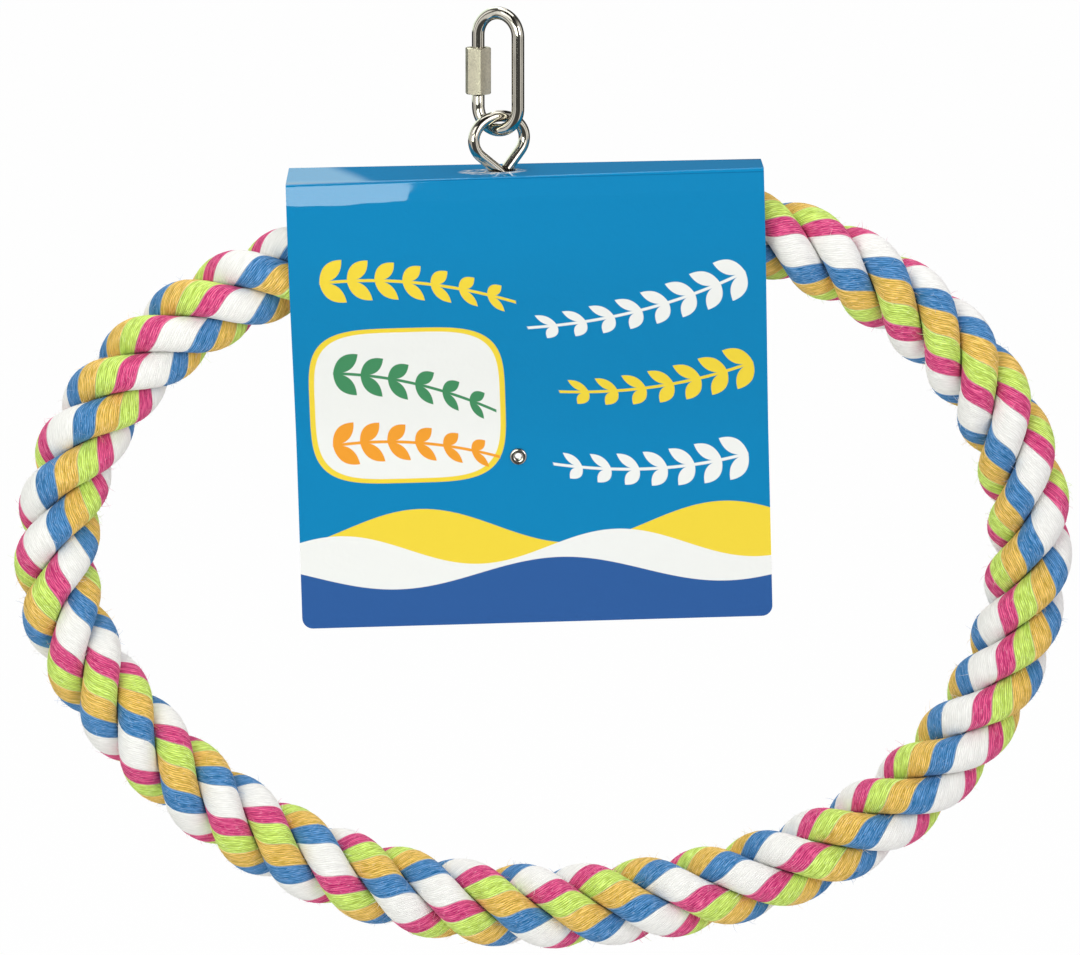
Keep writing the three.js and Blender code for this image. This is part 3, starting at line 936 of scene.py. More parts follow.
@dataclass
class RopeRing:
    """The laid rope: three strands of five yarn bundles each, along the bent ring.

    The strands and their bundles follow the ring's path, which is repeated here from the CAD source.
    """

    YARN_MAP = "yarn_lay"
    BAKE_MAP = "OFBake"
    GROOVE = "groove"

    rope_end: float = 6.5
    collar_end: float = 28.0
    axis_drop: float = 31.75
    reach: float = 154.0
    widest_drop: float = 104.5
    skew: float = 4.5
    drop: float = 219.3
    foot_slip: float = 12.3
    shoulder: float = 64.0
    side_upper: float = 64.4
    side_lower: float = 27.6
    foot_handle: float = 120.0
    lay: float = 56.9
    lay_start: float = math.radians(-57)
    lay_drift: float = math.radians(18)
    drift_centre: float = 330.0
    drift_length: float = 520.0
    slip_centre: float = 547.0
    slip_length: float = 290.0
    strand_centre: float = 7.25
    strand_radius: float = 6.2
    strand_flatness: float = 1.2
    strand_girth: float = 1.1  # between the strand's two half widths, to its radius
    strand_gap: float = 0.12
    core_clearance: float = 1.9
    bundle_gap: float = 0.008
    ring_step: float = 0.8
    yarn_pitch: float = 0.76
    points_per_yarn: int = 3
    yarn_depth: float = 0.08
    yarn_stray: float = 0.03
    yarn_waves: tuple[float, float] = (18.0, 60.0)
    border_drop: float = 0.14
    groove_width: float = 1.7
    card_reach: float = 92.0
    bake_rows: int = 11
    twists: tuple[StrandTwist, ...] = (
        StrandTwist(2.585, 161, 146),
        StrandTwist(2.545, 199, 133),
        StrandTwist(2.525, 5, 15),
    )

    def build(self) -> list[bpy.types.Object]:
        """Models and dresses the fifteen bundles and their loose fibres.

        Returns:
            The bundles, then the fibres of each yarn.
        """
        cottons = {yarn: CottonYarn(yarn, self._yarns(yarn)) for yarn in Yarn}
        finishes = {yarn: cotton.make() for yarn, cotton in cottons.items()}
        lint = {yarn: Lint(yarn) for yarn in Yarn}
        length, centre, heading = self._path()
        bare = round(self.card_reach / self.ring_step)
        made = []
        for number, twist in enumerate(self.twists):
            start = math.radians(twist.magenta_start) - Yarn.MAGENTA.sector / 2
            for yarn in Yarn:
                bundle = self._bundle(number, twist, yarn, start, (length, centre, heading))
                bundle.data.materials.append(finishes[yarn])
                lint[yarn].grow(bundle, len(length), bare, len(made))
                Bench.settle(bundle, ring_frame(), "ring", "cotton_yarn", f"strand_{number + 1}")
                made.append(bundle)
                start += yarn.sector
        for yarn, fibres in lint.items():
            hairs = fibres.build()
            hairs.data.materials.append(cottons[yarn].make_lint())
            Bench.settle(hairs, ring_frame(), "ring", "cotton_yarn", "strand_1", "strand_2", "strand_3")
            made.append(hairs)
        return made

    def _path(self) -> tuple[np.ndarray, np.ndarray, np.ndarray]:
        """Follows the rope's middle clockwise from its right end.

        Returns:
            Lengths along the path, places in the XZ plane and headings, one for each ring of points.
        """
        axis = -self.axis_drop
        right = np.array((self.reach, axis - self.widest_drop - self.skew))
        left = np.array((-self.reach, axis - self.widest_drop + self.skew))
        foot = np.array((self.foot_slip, axis - self.drop))
        mouth = np.array((self.collar_end, axis))
        mirror = np.array((-1, 1))
        out = np.array((self.shoulder, 0))
        up = np.array((0, self.side_upper))
        down = np.array((0, -self.side_lower))
        aside = np.array((self.foot_handle, 0))
        end = np.array((self.rope_end, axis))
        bends = (
            (end, (2 * end + mouth) / 3, (end + 2 * mouth) / 3, mouth),
            (mouth, mouth + out, right + up, right),
            (right, right + down, foot + aside, foot),
            (foot, foot - aside, left + down, left),
            (left, left + up, mouth * mirror - out, mouth * mirror),
            (mouth * mirror, (2 * mouth + end) / 3 * mirror, (mouth + 2 * end) / 3 * mirror, end * mirror),
        )
        shares = np.linspace(0, 1, 900, endpoint=False)[:, None]
        dense = [along_curve(handles, shares) for handles in bends]
        track = np.vstack([*dense, bends[-1][3][None]])
        run = np.concatenate(([0], np.cumsum(np.linalg.norm(np.diff(track, axis=0), axis=1))))
        count = round(run[-1] / self.ring_step) + 1
        length = np.linspace(0, run[-1], count)
        places = np.column_stack([np.interp(length, run, track[:, k]) for k in (0, 1)])
        headings = np.gradient(places, length, axis=0)
        return length, places, headings / np.linalg.norm(headings, axis=1)[:, None]

    def _yarns(self, yarn: Yarn) -> int:
        """Counts the yarns that lie side by side on a bundle's outside."""
        return round(yarn.sector * self.strand_radius * self.strand_girth / self.yarn_pitch)

    def _lay_angle(self, length: np.ndarray) -> np.ndarray:
        """Gives the first strand's angle round the rope, with the slow drift of its twist."""
        drift = np.cos(math.tau * (length - self.drift_centre) / self.drift_length)
        return self.lay_start + math.tau * length / self.lay + self.lay_drift * drift

    def _relief(self, yarns: int, length: np.ndarray, seed: int) -> tuple[np.ndarray, np.ndarray]:
        """Shapes a bundle's outside: round yarns of slightly different height, lower at the borders.

        Args:
            yarns: Yarns side by side.
            length: Lengths along the path.
            seed: Start of the random yarn heights.

        Returns:
            The place across in yarns, and the height for each length and place.
        """
        across = np.linspace(0, yarns, yarns * self.points_per_yarn + 1)
        crest = 2 * (across % 1.0) - 1
        crown = -self.border_drop * np.abs(2 * across / yarns - 1) ** 6
        chance = np.random.default_rng(seed)
        yarn = np.minimum(across.astype(int), yarns - 1)
        wave = chance.uniform(*self.yarn_waves, yarns)[yarn]
        phase = chance.uniform(0, math.tau, yarns)[yarn]
        uneven = self.yarn_stray * np.sin(math.tau * length[:, None] / wave + phase)
        return across, crown - self.yarn_depth * crest**2 + uneven

    def _bundle(
        self,
        number: int,
        twist: StrandTwist,
        yarn: Yarn,
        start: float,
        path: tuple[np.ndarray, np.ndarray, np.ndarray],
    ) -> bpy.types.Object:
        """Sweeps one yarn bundle along the rope: a wedge of its strand, pressed flat on its neighbours.

        Args:
            number: The strand, from 0.
            twist: The strand's twist.
            yarn: The bundle's yarn.
            start: The bundle's first border round the strand, in radians.
            path: Lengths, places and headings along the rope's middle.

        Returns:
            The bundle in the ring's frame.
        """
        length, centre, heading = path
        lay = self._lay_angle(length)
        slip = smooth_step((length - self.slip_centre) / self.slip_length + 0.5)
        turned = twist.against_lay * (lay - self.lay_start) + math.radians(twist.slip) * slip
        yarns = self._yarns(yarn)
        seed = number * len(Yarn) + list(Yarn).index(yarn)
        across, height = self._relief(yarns, length, seed)
        sector = start + self.bundle_gap + (yarn.sector - 2 * self.bundle_gap) * across / yarns
        round_strand = sector - turned[:, None]
        radial = self.strand_centre + (self.strand_radius + height) * np.cos(round_strand)
        aside = self.strand_flatness * (self.strand_radius + height) * np.sin(round_strand)
        radial = np.maximum(radial, self.core_clearance)
        flank = radial * math.sqrt(3) - self.strand_gap
        aside = np.clip(aside, -flank, flank)
        groove = 1 - smooth_step((flank - np.abs(aside)) / self.groove_width)
        apex = np.full((len(length), 1), self.strand_centre)
        radial = np.hstack((radial, apex))
        aside = np.hstack((aside, np.zeros_like(apex)))
        angle = (lay + math.tau * number / len(self.twists))[:, None]
        outward = radial * np.cos(angle) - aside * np.sin(angle)
        forward = radial * np.sin(angle) + aside * np.cos(angle)
        level = centre[:, :1] - heading[:, 1:] * outward
        upright = centre[:, 1:] + heading[:, :1] * outward
        places = np.stack((level, -forward, upright), -1)
        piece = self._wrap(f"strand_{number + 1}_{yarn.name.lower()}", places, across, length)
        depth = piece.data.attributes.new(self.GROOVE, "FLOAT", "POINT")
        depth.data.foreach_set("value", np.hstack((groove, np.ones_like(apex))).ravel())
        return piece

    def _wrap(
        self, name: str, places: np.ndarray, across: np.ndarray, length: np.ndarray
    ) -> bpy.types.Object:
        """Skins rings of points into a closed piece with its two maps.

        Args:
            name: The piece's name.
            places: Points by ring and place in the ring. The last of each ring is inside the strand.
            across: Yarns across at the other places.
            length: Lengths along the path.

        Returns:
            The piece.
        """
        rings, points = places.shape[:2]
        ring, point = np.meshgrid(np.arange(rings - 1), np.arange(points), indexing="ij")
        after = (point + 1) % points
        here, ahead = ring * points, (ring + 1) * points
        quads = np.stack((here + point, here + after, ahead + after, ahead + point), -1).reshape(-1, 4)
        caps = [list(range(points - 1, -1, -1)), list(range((rings - 1) * points, rings * points))]
        mesh = bpy.data.meshes.new(name)
        mesh.from_pydata(places.reshape(-1, 3), [], quads.tolist() + caps)
        outside = np.append((point < points - 2).ravel(), (False, False))
        mesh.polygons.foreach_set("use_smooth", outside)
        return Bench.stand(mesh, self._maps((ring, point), across, length))

    def _maps(
        self, faces: tuple[np.ndarray, np.ndarray], across: np.ndarray, length: np.ndarray
    ) -> dict[str, np.ndarray]:
        """Gives the map that a bundle's yarns lie on, and a folded one for baking.

        Args:
            faces: Ring and point of each side face.
            across: Yarns across at each point but the last.
            length: Lengths along the path.

        Returns:
            The two maps by name.
        """
        margin, row_margin, sides_share = 0.002, 0.02, 0.98
        cap_radius, cap_level, cap_aside = 0.006, 0.991, (0.2, 0)
        ring, point = (part.reshape(-1, 1) for part in faces)
        ring_corner = ring + np.array((0, 0, 1, 1))
        point_corner = point + np.array((0, 1, 1, 0))
        points = len(across) + 1
        yarns = np.append(across, (across[-1], across[0]))
        laid = np.stack((length[ring_corner], yarns[point_corner]), -1)
        rows_long = math.ceil((len(length) - 1) / self.bake_rows)
        row = ring // rows_long
        folded_along = margin + (1 - 2 * margin) * (ring_corner - row * rows_long) / rows_long
        in_row = row_margin + (1 - 2 * row_margin) * point_corner / points
        folded = np.stack((folded_along, sides_share * (row + in_row) / self.bake_rows), -1)
        turn = math.tau * np.arange(points) / points
        cap = np.stack((cap_radius * np.cos(turn) + 0.5, cap_radius * np.sin(turn) + cap_level), -1)
        return {
            self.YARN_MAP: np.concatenate((laid.reshape(-1, 2), cap * 0, cap * 0)),
            self.BAKE_MAP: np.concatenate((folded.reshape(-1, 2), cap - cap_aside, cap + cap_aside)),
        }


@dataclass
class Lint:
    """The loose fibres of one yarn: short curled hairs on its bundles, each closed and tapered."""

    HAIR_MAP = "hair"
    SIDES = 3

    yarn: Yarn
    per_degree: float = 11.0
    shortest: float = 0.6
    longest: float = 3.2
    radius: float = 0.05
    root_depth: float = 0.1
    curl: float = 0.25
    stray: float = 0.7
    slopes: tuple[float, float] = (0.3, 1.8)
    droop: float = 0.45
    deepest: float = 0.5
    rows: tuple[tuple[float, float], ...] = ((0.0, 1.0), (0.35, 0.85), (0.7, 0.6))
    hairs: list[np.ndarray] = field(default_factory=list)

    def grow(self, bundle: bpy.types.Object, rings: int, bare: int, seed: int) -> None:
        """Grows hairs on a bundle, where it is open to view.

        Args:
            bundle: The bundle in the ring's frame, whose rings of points end inside the strand.
            rings: How many rings it has.
            bare: Rings without hairs at each end, under the card.
            seed: Start of the random draws.
        """
        chance = np.random.default_rng(seed)
        corners = len(bundle.data.vertices)
        grid, groove = np.empty(corners * 3), np.empty(corners)
        bundle.data.vertices.foreach_get("co", grid)
        bundle.data.attributes[RopeRing.GROOVE].data.foreach_get("value", groove)
        grid = grid.reshape(rings, -1, 3)
        drawn = round(self.per_degree * math.degrees(self.yarn.sector))
        ring = chance.integers(bare, rings - bare, drawn)
        point = chance.integers(1, grid.shape[1] - 2, drawn)
        seen = groove.reshape(rings, -1)[ring, point] < self.deepest
        ring, point = ring[seen], point[seen]
        along = self._unit(grid[ring + 1, point] - grid[ring - 1, point])
        outward = grid[ring, point] - grid[ring, -1]
        outward = self._unit(outward - along * (outward * along).sum(axis=1, keepdims=True))
        self.hairs.append(self._curl(chance, grid[ring, point], along, outward))

    @staticmethod
    def _unit(vectors: np.ndarray) -> np.ndarray:
        """Scales vectors to a length of one."""
        return vectors / np.linalg.norm(vectors, axis=1, keepdims=True)

    def _curl(
        self, chance: np.random.Generator, root: np.ndarray, along: np.ndarray, outward: np.ndarray
    ) -> np.ndarray:
        """Bends one hair at each root.

        Args:
            chance: The random draws.
            root: The roots.
            along, outward: The yarn's direction and the surface's, at each root.

        Returns:
            The corners of each hair: three round each row, and the tip.
        """
        draw = (len(root), 1)
        turn = chance.normal(0, self.stray, draw) + math.pi * chance.integers(0, 2, draw)
        lean = along * np.cos(turn) + np.cross(along, outward) * np.sin(turn)
        rise = chance.uniform(*self.slopes, draw)
        reach = self.shortest + (self.longest - self.shortest) * chance.random(draw) ** 3
        bend = chance.normal(0, self.curl, draw)
        aside = np.cross(outward, lean)
        upright = np.cross(self._unit(lean + outward * rise), aside)

        def middle(share: float) -> np.ndarray:
            """Gives the place on each hair's middle at a share of its length."""
            lift = rise * (share - self.droop * share**2)
            run = lean * share + outward * lift + aside * bend * share**2
            return root - outward * self.root_depth + reach * run

        corners = []
        for share, thickness in self.rows:
            for side in range(self.SIDES):
                angle = math.tau * side / self.SIDES
                spoke = aside * math.cos(angle) + upright * math.sin(angle)
                corners.append(middle(share) + spoke * (self.radius * thickness))
        return np.stack((*corners, middle(1.0)), axis=1)

    def build(self) -> bpy.types.Object:
        """Skins the hairs into one piece and lays out its two maps.

        Returns:
            The piece in the ring's frame.
        """
        hairs = np.concatenate(self.hairs)
        last = len(self.rows) * self.SIDES
        faces, flat = [], []
        shares = [share for share, _ in self.rows] + [1.0]
        for side in range(self.SIDES):
            after = (side + 1) % self.SIDES
            left, right = side / self.SIDES, (side + 1) / self.SIDES
            for row in range(len(self.rows) - 1):
                low, high = row * self.SIDES, (row + 1) * self.SIDES
                faces.append((low + side, low + after, high + after, high + side))
                near, far = shares[row], shares[row + 1]
                flat += [(left, near), (right, near), (right, far), (left, far)]
            faces.append((last - self.SIDES + side, last - self.SIDES + after, last))
            flat += [(left, shares[-2]), (right, shares[-2]), ((left + right) / 2, 1.0)]
        faces.append(tuple(reversed(range(self.SIDES))))
        flat += [(0.2, -0.3), (0.8, -0.3), (0.5, -0.1)]
        mesh = bpy.data.meshes.new(f"lint_{self.yarn.name.lower()}")
        starts = range(0, len(hairs) * (last + 1), last + 1)
        skin = [tuple(corner + start for corner in face) for start in starts for face in faces]
        mesh.from_pydata(hairs.reshape(-1, 3), [], skin)
        return Bench.stand(mesh, self._maps(np.array(flat), len(hairs)))

    def _maps(self, flat: np.ndarray, count: int) -> dict[str, np.ndarray]:
        """Gives the map along the hairs' length, and one of separate cells for baking.

        Args:
            flat: The place round and along one hair, for each corner of its faces.
            count: How many hairs there are.

        Returns:
            The two maps by name.
        """
        spread, margin, foot_room, tall = 0.618, 0.1, 0.3, 0.6
        across = math.ceil(math.sqrt(count))
        hair = np.arange(count)[:, None]
        each = hair * spread % 1.0 + flat[:, 0] * 0
        along = np.clip(flat[:, 1], 0, 1) + hair * 0
        cell_across = (hair % across + margin + (1 - 2 * margin) * flat[:, 0]) / across
        cell_up = (hair // across + foot_room + tall * flat[:, 1]) / across
        return {
            self.HAIR_MAP: np.stack((along, each), -1),
            RopeRing.BAKE_MAP: np.stack((cell_across, cell_up), -1),
        }


@dataclass
class QuickLink:
    """The quick link: a bent wire body, and the hexagonal sleeve that closes its gate."""

    turn: float = math.radians(30)
    wire: float = 2.0
    half_width: float = 7.2
    upper_centre: float = -5.2
    lower_centre: float = -27.6
    gate_top: float = -18.0
    stub_top: float = -22.2
    thread_pitch: float = 0.7
    thread_depth: float = 0.22
    sleeve_bottom: float = -23.8
    sleeve_length: float = 14.6
    sleeve_flats: float = 7.4
    sleeve_turn: float = math.radians(-19)
    sleeve_bore: float = 2.45
    sleeve_chamfer: float = 0.5
    sleeve_edge: float = 0.14

    @property
    def placement(self) -> Matrix:
        """Gives the placement of the turned link in the shared frame."""
        return Matrix.Scale(MM, 4) @ Matrix.Rotation(-self.turn, 4, "Z")

    def build(self) -> list[bpy.types.Object]:
        """Models and dresses the body and the sleeve.

        Returns:
            The two pieces.
        """
        body = self._body()
        steel = BrightSteel("polished_steel", paint_colour(206, 201, 188), 0.08, 0.000002)
        body.data.materials.append(steel.make())
        Bench.settle(body, self.placement, "link", "polished_steel", "link_body")
        sleeve = self._sleeve()
        satin = BrightSteel("satin_sleeve", paint_colour(205, 197, 176), 0.36, 0.00003, (1500, 1500, 1500))
        sleeve.data.materials.append(satin.make())
        Bench.settle(sleeve, self.placement, "sleeve", "satin_steel", "link_sleeve")
        return [body, sleeve]

    def _body(self) -> bpy.types.Object:
        """Draws the wire from the threaded stub round both bows to the gate's upper end."""
        side = self.half_width
        bender = WireBender("link_wire", self.wire, (-side, self.stub_top), math.pi)
        bender.thread(self.thread_pitch, self.thread_depth, 2)
        bender.straight((-side, self.lower_centre))
        bender.bow((0, self.lower_centre), (side, side), math.pi, math.tau, 40)
        bender.straight((side, self.upper_centre))
        bender.bow((0, self.upper_centre), (side, side), 0, math.pi, 40)
        bender.straight((-side, self.gate_top))
        return bender.finish()

    def _sleeve(self) -> bpy.types.Object:
        """Turns the ends off a hexagonal bar, breaks its edges and bores it."""
        low = self.sleeve_bottom
        high = low + self.sleeve_length
        middle = (-self.half_width, 0, (low + high) / 2)
        sleeve = Bench.add(
            "hex_sleeve", bpy.ops.mesh.primitive_cylinder_add,
            vertices=6, radius=self.sleeve_flats / math.sqrt(3), depth=self.sleeve_length,
            location=middle, rotation=(0, 0, self.sleeve_turn),
        )
        with Bench.edit(sleeve):
            Bench.pick(sleeve, "EDGE", lambda edge: self._upright(sleeve, edge))
            bpy.ops.mesh.bevel(offset=self.sleeve_edge, segments=3, affect="EDGES")
        face = self.sleeve_flats / 2
        wide = face + 2 * self.sleeve_chamfer
        turned = Bench.lathe(
            "turned_ends",
            [
                (0.01, low), (face, low), (wide, low + self.sleeve_chamfer),
                (wide, high - self.sleeve_chamfer), (face, high), (0.01, high),
            ],
            72,
        )
        turned.data.transform(Matrix.Translation((-self.half_width, 0, 0)))
        Bench.cut(sleeve, turned, "INTERSECT")
        Bench.drill(sleeve, 48, radius=self.sleeve_bore, depth=self.sleeve_length + 4, location=middle)
        Bench.close(sleeve, 20)
        return sleeve

    @staticmethod
    def _upright(piece: bpy.types.Object, edge: bpy.types.MeshEdge) -> bool:
        """Tells whether an edge runs along Z."""
        first, second = (piece.data.vertices[index].co for index in edge.vertices)
        return abs(first.z - second.z) > 1


@dataclass
class EyeBolt:
    """The eye bolt, with the washer and lock nut on its shank inside the collar."""

    wire: float = 1.8
    turn: float = math.radians(28)
    half_width: float = 8.95
    arch_rise: float = 7.2
    arch_centre: float = -2.85
    arms_meet: float = -14.05
    neck_bend: float = 4.0
    butt_gap: float = 0.3
    shank_bottom: float = -25.47
    thread_top: float = -19.0
    thread_pitch: float = 0.7
    thread_depth: float = 0.2

    def build(self) -> list[bpy.types.Object]:
        """Models the eye bolt and dresses it with its washer and nut.

        Returns:
            The eye bolt and the two CAD nodes.
        """
        bolt = self._bolt()
        steel = BrightSteel("polished_eye", paint_colour(208, 202, 188), 0.08, 0.000002)
        bolt.data.materials.append(steel.make())
        placement = ring_frame() @ Matrix.Rotation(self.turn, 4, "Z")
        Bench.settle(bolt, placement, "bolt", "polished_steel", "eye_bolt")
        satin = BrightSteel("satin_steel", paint_colour(190, 186, 176), 0.34, 0.00003).make()
        return [bolt, dress("washer", satin), dress("lock_nut", satin)]

    def _bolt(self) -> bpy.types.Object:
        """Draws the wire up the shank and the left arm, over the arch and down the right arm."""
        drop = self.arch_centre - self.arms_meet
        arch_end = math.asin(self.arch_rise / drop)
        arm_x = self.half_width * math.cos(arch_end)
        arm_z = self.arch_centre - self.arch_rise * math.sin(arch_end)
        slope = math.atan2(arm_x, arm_z - self.arms_meet)
        bend = self.neck_bend * math.tan(slope / 2)
        bender = WireBender("eye_wire", self.wire, (0, self.shank_bottom), 0.0)
        turns = round((self.thread_top - self.shank_bottom) / self.thread_pitch)
        bender.thread(self.thread_pitch, self.thread_depth, turns)
        bender.straight((0, self.arms_meet - bend))
        neck = (-self.neck_bend, self.arms_meet - bend)
        bender.bow(neck, (self.neck_bend, self.neck_bend), 0, slope, 10)
        bender.straight((-arm_x, arm_z))
        bender.bow(
            (0, self.arch_centre), (self.half_width, self.arch_rise),
            math.pi + arch_end, -arch_end, 56,
        )
        both = 2 * slope
        butt = (self.wire + self.butt_gap + self.wire * abs(math.cos(both))) / math.sin(both)
        bender.straight((math.sin(slope) * butt, self.arms_meet + math.cos(slope) * butt))
        return bender.finish()


@dataclass
class EndJoint:
    """The collar over the two rope ends, with their bindings and the core wire."""

    axis_drop: float = RopeRing.axis_drop
    bore: float = 14.4
    radius: float = 15.9
    half_length: float = RopeRing.collar_end
    shank_hole: float = 2.1

    def build(self) -> list[bpy.types.Object]:
        """Models the collar and dresses what is inside it.

        Returns:
            The collar and the CAD nodes of the bindings and the core wire.
        """
        collar = self._collar()
        collar.data.materials.append(PlainPlastic("white_vinyl", paint_colour(238, 237, 233), 0.35).make())
        Bench.settle(collar, ring_frame(), "ring", "white_vinyl", "collar")
        tape = PlainPlastic("binding_tape", paint_colour(214, 206, 188), 0.65).make()
        galvanised = BrightSteel("galvanised_wire", paint_colour(176, 178, 180), 0.4, 0.00004).make()
        bindings = [dress(f"end_binding_{side}", tape) for side in ("right", "left")]
        return [collar, *bindings, dress("core_wire", galvanised)]

    def _collar(self) -> bpy.types.Object:
        """Draws the tube with rounded mouths and drills the shank's hole in its crown."""
        collar = Bench.lathe("collar_tube", Bench.both_ends(self._mouth()), 96)
        lay_down = Matrix.Translation((0, 0, -self.axis_drop)) @ Matrix.Rotation(math.pi / 2, 4, "Y")
        collar.data.transform(lay_down)
        crown = (0, 0, -self.axis_drop + self.radius)
        Bench.drill(collar, 40, radius=self.shank_hole, depth=20, location=crown)
        Bench.close(collar, 35)
        return collar

    def _mouth(self) -> list[Place]:
        """Gives the profile of one rounded mouth, from the bore out."""
        middle = (self.bore + self.radius) / 2
        half_wall = (self.radius - self.bore) / 2
        turns = [math.pi * step / 10 for step in range(11)]
        start = self.half_length - half_wall
        return [(middle - half_wall * math.cos(turn), start + half_wall * math.sin(turn)) for turn in turns]


@dataclass
class HangCard:
    """The folded hang card over the collar, and the eyelet that joins its two panels."""

    crown: float = -12.75
    width: float = 149.0
    shift: float = 7.0
    height: float = 144.3
    thickness: float = 0.6
    fold: float = 0.5
    corner: float = 3.4
    panel_depth: float = 16.2
    brow_height: float = 5.6
    brow_lean: float = 0.8
    twist: float = 0.04
    shoulder: float = 21.15
    ease: float = 15.9
    pinch_depth: float = 0.4
    pinch_half: float = 3.65
    foot_depth: float = 1.5
    eye_hole: float = 4.66
    eyelet_drop: float = 91.0
    eyelet_side: float = 2.4
    eyelet_bore: float = 1.1
    eyelet_wall: float = 0.4
    eyelet_radius: float = 2.65
    eyelet_rim: float = 0.5
    eyelet_lift: float = 0.15
    rivet_clearance: float = 0.3
    columns: int = 76
    buckle_reach: float = 2.5
    buckles: tuple[tuple[float, float, float], ...] = ((0.34, 43, 1), (0.11, 13.5, 0), (0.05, 8.3, 2))

    @property
    def placement(self) -> Matrix:
        """Gives the placement of the card in the shared frame, from millimetres."""
        stand = Matrix.Translation((0, 0, self.crown)) @ Matrix.Rotation(HANG_LEAN - CARD_LEAN, 4, "Y")
        return ring_frame() @ stand

    def build(self) -> list[bpy.types.Object]:
        """Models and dresses the card and its eyelet.

        Returns:
            The two pieces.
        """
        card = self._card()
        card.data.materials.append(CardPrint(self.placement, self.shift).make())
        card.data.materials.append(BareBoard().make())
        Bench.modify(
            card, "SOLIDIFY",
            thickness=self.thickness, offset=0.0, material_offset=1, material_offset_rim=1,
        )
        self._pierce(card)
        Bench.hold(card)
        bpy.ops.object.shade_smooth_by_angle(angle=math.radians(40))
        Bench.settle(card, self.placement, "ring", "printed_card", "hang_card")
        eyelet = self._eyelet()
        eyelet.data.materials.append(
            BrightSteel("nickel_eyelet", paint_colour(204, 200, 190), 0.16, 0.00001).make()
        )
        Bench.settle(eyelet, self.placement, "ring", "polished_steel", "card_eyelet")
        return [card, eyelet]

    def _profile(self) -> list[Place]:
        """Gives the middle of the board from the crown down the front, as depth and height."""
        inner_top = -self.thickness
        depth = self.panel_depth
        pinch_top = self.pinch_half - self.eyelet_drop
        pinch_bottom = -self.pinch_half - self.eyelet_drop
        crease = depth - self.brow_lean
        face = [Vector((share * (crease - self.fold) / 16, inner_top)) for share in range(17)]
        corner = Vector((crease, inner_top))
        turned = Vector((crease, inner_top - self.fold))
        level = face[-1]
        face += self._curve((level, level.lerp(corner, 2 / 3), turned.lerp(corner, 2 / 3), turned), 8)
        brow = Vector((depth, turned.y - self.brow_height))
        face += self._curve((turned, turned.lerp(brow, 0.5), brow + (turned - brow) * 0.2, brow), 12)
        shoulder = Vector((depth, -self.shoulder))
        face += [brow.lerp(shoulder, step / 8) for step in range(1, 9)]
        ease = Vector((0, self.ease))
        pinch = Vector((self.pinch_depth, pinch_top))
        face += self._curve((shoulder, shoulder - ease, pinch + ease, pinch), 36)
        low_pinch = Vector((self.pinch_depth, pinch_bottom))
        face += [pinch.lerp(low_pinch, step / 4) for step in range(1, 5)]
        foot = Vector((self.foot_depth, -self.height))
        rounded = Vector((self.foot_depth, -self.height + self.corner))
        lower = self._curve((low_pinch, low_pinch - ease, foot + ease, foot), 40)
        face += [place for place in lower if place.y > rounded.y + 0.2]
        for step in range(11):
            angle = math.pi / 2 * step / 10
            face.append(Vector((self.foot_depth, rounded.y - self.corner * math.sin(angle))))
        return self._offset(face, self.thickness / 2)

    @staticmethod
    def _curve(handles: Sequence[Vector], steps: int) -> list[Vector]:
        """Follows a Bezier curve in steps, without its first place."""
        return [along_curve(handles, step / steps) for step in range(1, steps + 1)]

    @staticmethod
    def _offset(places: Sequence[Vector], distance: float) -> list[Place]:
        """Moves a line of places outwards by a distance."""
        moved = []
        for index, place in enumerate(places):
            before = places[max(index - 1, 0)]
            after = places[min(index + 1, len(places) - 1)]
            along = (after - before).normalized()
            moved.append((place.x - along.y * distance, place.y + along.x * distance))
        return moved

    def _half_width(self, height: float) -> float:
        """Gives half the card's width at a height, with its rounded lower corners."""
        up = height + self.height
        if up >= self.corner:
            return self.width / 2
        rest = self.corner - max(up, 0)
        return self.width / 2 - self.corner + math.sqrt(max(self.corner**2 - rest**2, 0))

    def _card(self) -> bpy.types.Object:
        """Draws a strip of board from the front's foot over the fold to the foot at the back."""
        front = [(-depth, height) for depth, height in reversed(self._profile())]
        back = [(-depth, height) for depth, height in reversed(front[:-1])]
        places = front + back
        (first_depth, first_height), (next_depth, next_height) = places[:2]
        card = Bench.add(
            "folded_card", bpy.ops.mesh.primitive_grid_add,
            x_subdivisions=self.columns, y_subdivisions=1, size=2,
        )
        foot = self._half_width(first_height)
        above = self._half_width(next_height)
        for vertex in card.data.vertices:
            lower = vertex.co.y < 0
            vertex.co = (
                vertex.co.x * (foot if lower else above),
                first_depth if lower else next_depth,
                first_height if lower else next_height,
            )
        with Bench.edit(card):
            Bench.pick(card, "VERT", lambda vertex: vertex.co.z > (first_height + next_height) / 2)
            bpy.ops.mesh.select_mode(type="EDGE")
            last = places[1]
            for depth, height in places[2:]:
                Bench.pull((0, depth - last[0], height - last[1]))
                grow = self._half_width(height) / self._half_width(last[1])
                if abs(grow - 1) > 1e-9:
                    bpy.ops.transform.resize(value=(grow, 1, 1), center_override=(0, depth, height))
                last = (depth, height)
            bpy.ops.mesh.select_all(action="SELECT")
            bpy.ops.mesh.normals_make_consistent(inside=False)
        for vertex in card.data.vertices:
            twisted = self.twist * vertex.co.x / (self.width / 2) * vertex.co.y
            vertex.co.z += self._buckle(vertex.co) - twisted
        card.data.transform(Matrix.Translation((self.shift, 0, 0)))
        return card

    def _buckle(self, place: Vector) -> float:
        """Gives how far the brow's lower bend strays from its level, as in a board folded by hand."""
        across = math.tau * place.x
        stray = sum(height * math.sin(across / length + shift) for height, length, shift in self.buckles)
        below = -place.z - self.brow_height - self.fold
        return stray * math.exp(-((below / self.buckle_reach) ** 2))

